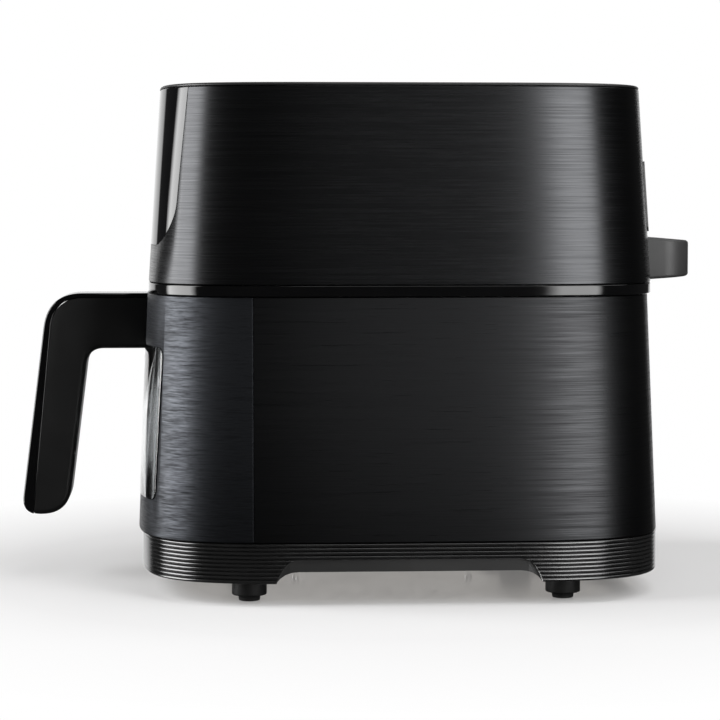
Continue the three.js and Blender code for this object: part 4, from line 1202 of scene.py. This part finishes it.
grille = vent_wall("rear_vent_grille", -vent_proud)
carve(grille, vent_tool(-gap), "INTERSECT")
slot_floor, slot_top = vent_low.z + louvre_height / 2, vent_high.z - louvre_height / 2
opening = rounded_outline(-slot_half, slot_half, slot_floor, slot_top, slot_corner, 6)
carve(grille, prism(opening, "Y", middle, 1))
ease_edges(grille, 0.5 * mm)
settle(grille)
# One louvre slopes down and outwards; the recipe stacks its copies up the opening.
face_y = middle + half_depth - head_inset(vent_low.z)
blade_section = ((-3.2, -0.2), (-2.4, 1.2), (-0.4, 2.6), (0.0, 2.2), (-0.1, 1.7), (-2.0, 0.3), (-2.6, -0.8))
blade_outline = [(outward * mm, upward * mm) for outward, upward in blade_section]
blade = prism(blade_outline, "X", -slot_half - mm, slot_half + mm)
form = bmesh.new()
form.from_mesh(blade.data)
cuts = [e for e in form.edges if abs(e.verts[0].co.x - e.verts[1].co.x) > mm]
bmesh.ops.subdivide_edges(form, edges=cuts, cuts=blade_cuts)
for vertex in form.verts:
    bowed = (1 - (abs(vertex.co.x) / half_width) ** plan_power) ** (1 / plan_power)
    vertex.co.y -= (half_depth - head_inset(vent_low.z)) * (1 - bowed)
form.to_mesh(blade.data)
form.free()
rise = Vector((0, head_inset(vent_low.z) - head_inset(vent_low.z + vent_pitch), vent_pitch))
first = Vector((0, face_y, vent_low.z + vent_pitch / 2 - mm))
make_by(blade, louvres, {"Count": louvre_count, "First": first, "Step": rise, "Finish": vent_black})
settle(blade)
join = bmesh.new()
join.from_mesh(grille.data)
join.from_mesh(blade.data)
join.to_mesh(grille.data)
join.free()
bpy.data.objects.remove(blade)
clad(settle(grille), "housing", vent_black, "satin_black", "vent_grille")

# ---- Rear spacer ----------------------------------------------------------------------------------
# A solid satin black block moulded with rounded corners keeps the hot vents off the wall. It thins
# towards its outer face and is fixed to the head's rear.
spacer_low, spacer_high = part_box("rear_spacer")
spacer_corner = 18 * mm
spacer_taper = 0.16
spacer_round = 2.2 * mm
spacer_root = middle + half_depth - head_inset(spacer_low.z) - 6 * mm
inner_end = spacer_root - spacer_corner
outline = rounded_outline(spacer_low.x, spacer_high.x, inner_end, spacer_high.y, spacer_corner, 14)
spacer_rings = [[(x, y, height) for x, y in outline] for height in (spacer_low.z, spacer_high.z)]
spacer = capped_loft("wall_spacer", spacer_rings)
ease_edges(spacer, spacer_round, 5, 60)
settle(spacer)
centre_z = (spacer_low.z + spacer_high.z) / 2
for vertex in spacer.data.vertices:
    out = max(0, (vertex.co.y - spacer_root) / (spacer_high.y - spacer_root))
    vertex.co.z = centre_z + (vertex.co.z - centre_z) * (1 - spacer_taper * out)
head_core = [plan_arc(head_inset(height) - gap, height) for height in (band_low.z, head_high.z)]
carve(spacer, capped_loft("head_core", head_core))
spacer_black = moulded_plastic("spacer_black", (0.02, 0.02, 0.02), (0.03, 0.03, 0.03), 0.5, 7e-6)
clad(settle(spacer, 40), "housing", spacer_black, "satin_black", "rear_spacer")

# ---- Heater ---------------------------------------------------------------------------------------
# A spiral sheathed element hangs in a polished steel dome above the food, its two cold ends passing
# up through the dome; a welded wire guard keeps fingers and food off it.
dome_steel = polished_steel("dome_steel", (0.45, 0.45, 0.46), (0.66, 0.66, 0.67), 0.26)
dress(["heat_reflector", "temperature_probe"], dome_steel)
coil_low, coil_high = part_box("heater_coil")
coil_tube = 3.3 * mm
coil_radius = coil_high.x - coil_tube
coil_pitch = 17 * mm
coil_turns = 1.88
coil_start = math.pi / 2 + 0.14
coil_z = coil_low.z + coil_tube
lead_x = 12 * mm
lead_y = coil_radius - 4 * mm


def sheathed_element(name):
    """The element's oxidised sheath: brown-grey, blued in patches, with drawing lines along it."""
    material = shader(name, Metallic=0.85)
    tree = material[1]
    heat = grain(tree, (30, 30, 30), 4, 0.6)
    colour = tint(tree, heat, 0.35, 0.65, (0.1, 0.085, 0.075), (0.16, 0.17, 0.19))
    shine = spread(tree, heat, 0.3, 0.7, 0.35, 0.6)
    return surface(material, colour, shine, grain(tree, (900, 900, 900), 3), 1e-5)


element = sheathed_element("element_sheath")
spiral = []
for step in range(161):
    share = coil_turns * step / 160
    turn = coil_start + share * math.tau
    radius = coil_radius - share * coil_pitch
    spiral.append((radius * math.cos(turn), middle + radius * math.sin(turn), coil_z))
leads = []
for side, foot_point in ((-1, spiral[0]), (1, spiral[-1])):
    top = (side * lead_x, middle + lead_y, coil_high.z)
    low = (side * lead_x, middle + lead_y, coil_z + 11 * mm)
    leads.append([top, *bend_between(low, (low[0], low[1], coil_z), foot_point, 10)])
path = leads[0] + spiral[1:] + list(reversed(leads[1]))[1:]
coil = tubed("spiral_heater_element", coil_tube, 1.6 * mm, element, path)
clad(coil, "housing", element, "steel", "heater_coil")

guard_low, guard_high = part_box("heater_guard")
guard_wire = (guard_high.z - guard_low.z) / 2
guard_z = (guard_low.z + guard_high.z) / 2
dome_radius = 104 * mm
guard_hub = 8 * mm
guard_reach = dome_radius + 9 * mm
guard_rings = []
for radius in (dome_radius - 7 * mm, dome_radius * 0.74, dome_radius / 2 + mm, dome_radius * 0.26):
    guard_rings.append(circle(radius, guard_z, 96, middle, closed=True))
guard_spokes = []
for spoke in range(3):
    turn = spoke * math.pi / 3
    for sign in (-1, 1):
        ends = (sign * guard_hub, sign * guard_reach)
        guard_spokes.append([(r * math.cos(turn), middle + r * math.sin(turn), guard_z) for r in ends])
guard = tubed("welded_wire_guard", guard_wire, 4 * mm, dome_steel, *guard_rings, *guard_spokes)
clad(guard, "housing", dome_steel, "steel", "heater_guard")

# ---- Fans and motor -------------------------------------------------------------------------------
# One shaft carries both fans: a pressed steel wheel in the hot dome and a white moulded wheel that
# cools the motor above. The motor is a closed can on a bridge of zinc-coated strip.
dress(["convection_fan", "motor_shaft"], dome_steel)
dress(["cooling_fan"], switch_white)
case_zinc = zinc_sheet("case_zinc", (0.4, 0.4, 0.39), (0.6, 0.6, 0.58), 0.34)
dress(["motor_case", "motor_bridge", "exhaust_duct"], case_zinc)
winding_copper = polished_steel("winding_copper", (0.42, 0.18, 0.08), (0.62, 0.3, 0.14), 0.35)
dress(["motor_rotor", "motor_bush_lower", "motor_bush_upper"], winding_copper)

# ---- Electronics, sensors and lamp ----------------------------------------------------------------
# Two green circuit boards, a probe and a fuse that watch the heat, and the chamber lamp behind its
# glass lens. They are clipped or screwed inside the head and show only when it is opened.


def circuit_board(name):
    """Green solder mask over copper tracks, with rows of tinned pads."""
    material = shader(name, Metallic=0.0)
    tree = material[1]
    place = node(tree, "ShaderNodeTexCoord").outputs["Object"]
    tracks = node(tree, "ShaderNodeTexBrick", Vector=place, Scale=160.0, Mortar_Size=0.12).outputs["Fac"]
    colour = tint(tree, tracks, 0, 1, (0.008, 0.07, 0.03), (0.03, 0.17, 0.08))
    shine = spread(tree, grain(tree, (200, 200, 200)), 0.3, 0.7, 0.25, 0.5)
    return surface(material, colour, shine, tracks, 3e-5)


dress(["control_board", "power_board"], circuit_board("board_green"))
dress(["thermal_fuse", "lamp_holder"], switch_white)
dress(["lamp_lens"], clear_glass("lens_clear", (0.95, 0.95, 0.92), 0.03))

# ---- Floor ----------------------------------------------------------------------------------------
# A pale seamless floor that glows faintly, a little glossy where the fryer stands. It runs out into
# plain white, so no horizon shows behind the fryer, and it is kept out of the glossy reflections.
floor_radius = 0.6
floor_mesh = bpy.data.meshes.new("floor")
floor_mesh.from_pydata(circle(floor_radius, 0, 96, middle), [], [range(96)])
floor = new_piece("floor", floor_mesh)
floor_white, tree, principled = shader(
    "floor_white",
    Base_Color=(0.53, 0.53, 0.535, 1),
    Roughness=0.6,
    Specular_IOR_Level=0.0,
    Emission_Color=(1, 0.98, 0.96, 1),
    Emission_Strength=0.25,
)
place = node(tree, "ShaderNodeTexCoord").outputs["Object"]
centred = node(tree, "ShaderNodeMapping", Vector=place, Location=(0, -middle, 0)).outputs[0]
split = node(tree, "ShaderNodeSeparateXYZ", Vector=centred)
shares = []
for axis, half in ((0, half_width), (1, half_depth)):
    part = math_of(tree, "DIVIDE", math_of(tree, "ABSOLUTE", split.outputs[axis]), half)
    shares.append(math_of(tree, "POWER", part, plan_power))
under = math_of(tree, "ADD", *shares)
gloss_share = spread(tree, under, 0.35, 0.8, 1, 0)
sheen = node(tree, "ShaderNodeBsdfAnisotropic", Color=(0.8, 0.78, 0.76, 1), Roughness=0.08)
fresnel = node(tree, "ShaderNodeFresnel", IOR=1.45).outputs[0]
glossed = node(tree, "ShaderNodeMixShader", i0=math_of(tree, "MULTIPLY", fresnel, gloss_share))
tree.links.new(principled.outputs[0], glossed.inputs[1])
tree.links.new(sheen.outputs[0], glossed.inputs[2])
white = node(tree, "ShaderNodeEmission", Color=(1, 1, 1, 1), Strength=1.0)
distance = node(tree, "ShaderNodeVectorMath", {"operation": "LENGTH"}, i0=centred).outputs["Value"]
faded = node(tree, "ShaderNodeMixShader", i0=spread(tree, distance, 0.26, 0.46, 0, 1))
tree.links.new(glossed.outputs[0], faded.inputs[1])
tree.links.new(white.outputs[0], faded.inputs[2])
tree.links.new(faded.outputs[0], tree.nodes["Material Output"].inputs[0])
floor_mesh.materials.append(floor_white)
floor.visible_glossy = False

# ---- Studio light ---------------------------------------------------------------------------------
# Two tall softboxes, one beyond the drawer and one at the rear quarter on the camera's side, draw the
# upright highlights; a wide one above lights the floor; white paper behind closes the set.


def softbox(name, bearing, distance, height, width, tall, radiance, soft=0.0, drop=0.0):
    """An area light at a bearing from +X about the fryer, aimed at the height `drop`. Soft is the
    share of its half width over which it fades out towards each upright edge."""
    light = bpy.data.lights.new(name, "AREA")
    light.shape = "RECTANGLE"
    light.size, light.size_y = width, tall
    light.energy = 4 * width * tall * radiance
    if soft:
        light.use_nodes = True
        tree = light.node_tree
        place = node(tree, "ShaderNodeNewGeometry").outputs["Parametric"]
        across = node(tree, "ShaderNodeSeparateXYZ", Vector=place).outputs[0]
        off_centre = math_of(tree, "ABSOLUTE", math_of(tree, "SUBTRACT", across, 0.5))
        fade = spread(tree, math_of(tree, "SUBTRACT", 0.5, off_centre), 0, soft / 2, 0, 1)
        tree.links.new(fade, tree.nodes["Emission"].inputs["Strength"])
    lamp = bpy.data.objects.new(name, light)
    bpy.context.scene.collection.objects.link(lamp)
    turn = math.radians(bearing)
    lamp.location = (distance * math.cos(turn), middle + distance * math.sin(turn), height)
    lamp.rotation_euler = (Vector((0, middle, drop)) - lamp.location).to_track_quat("-Z", "Y").to_euler()
    lamp.visible_camera = False
    return lamp


softbox("drawer_side_softbox", -88, 2.0, 0.75, 2.1, 2.4, 6.5, 0.35, 0.75)
softbox("rear_quarter_softbox", 34, 2.0, 0.6, 1.15, 2.2, 5.6, 0.35, 0.6)
softbox("overhead_softbox", 80, 1.0, 2.5, 2.2, 2.2, 2.2)
world = bpy.data.worlds.new("studio")
bpy.context.scene.world = world
world.use_nodes = True
tree = world.node_tree
toward = node(tree, "ShaderNodeSeparateXYZ", Vector=node(tree, "ShaderNodeTexCoord").outputs["Generated"])
paper = spread(tree, toward.outputs[0], -0.86, -0.9, 0.04, 1.0)
seen = node(tree, "ShaderNodeLightPath").outputs["Is Camera Ray"]
strength = math_of(tree, "MAXIMUM", paper, seen)
tree.links.new(strength, tree.nodes["Background"].inputs["Strength"])
tree.nodes["Background"].inputs["Color"].default_value = (1, 1, 1, 1)
bpy.context.scene.view_settings.view_transform = "Standard"
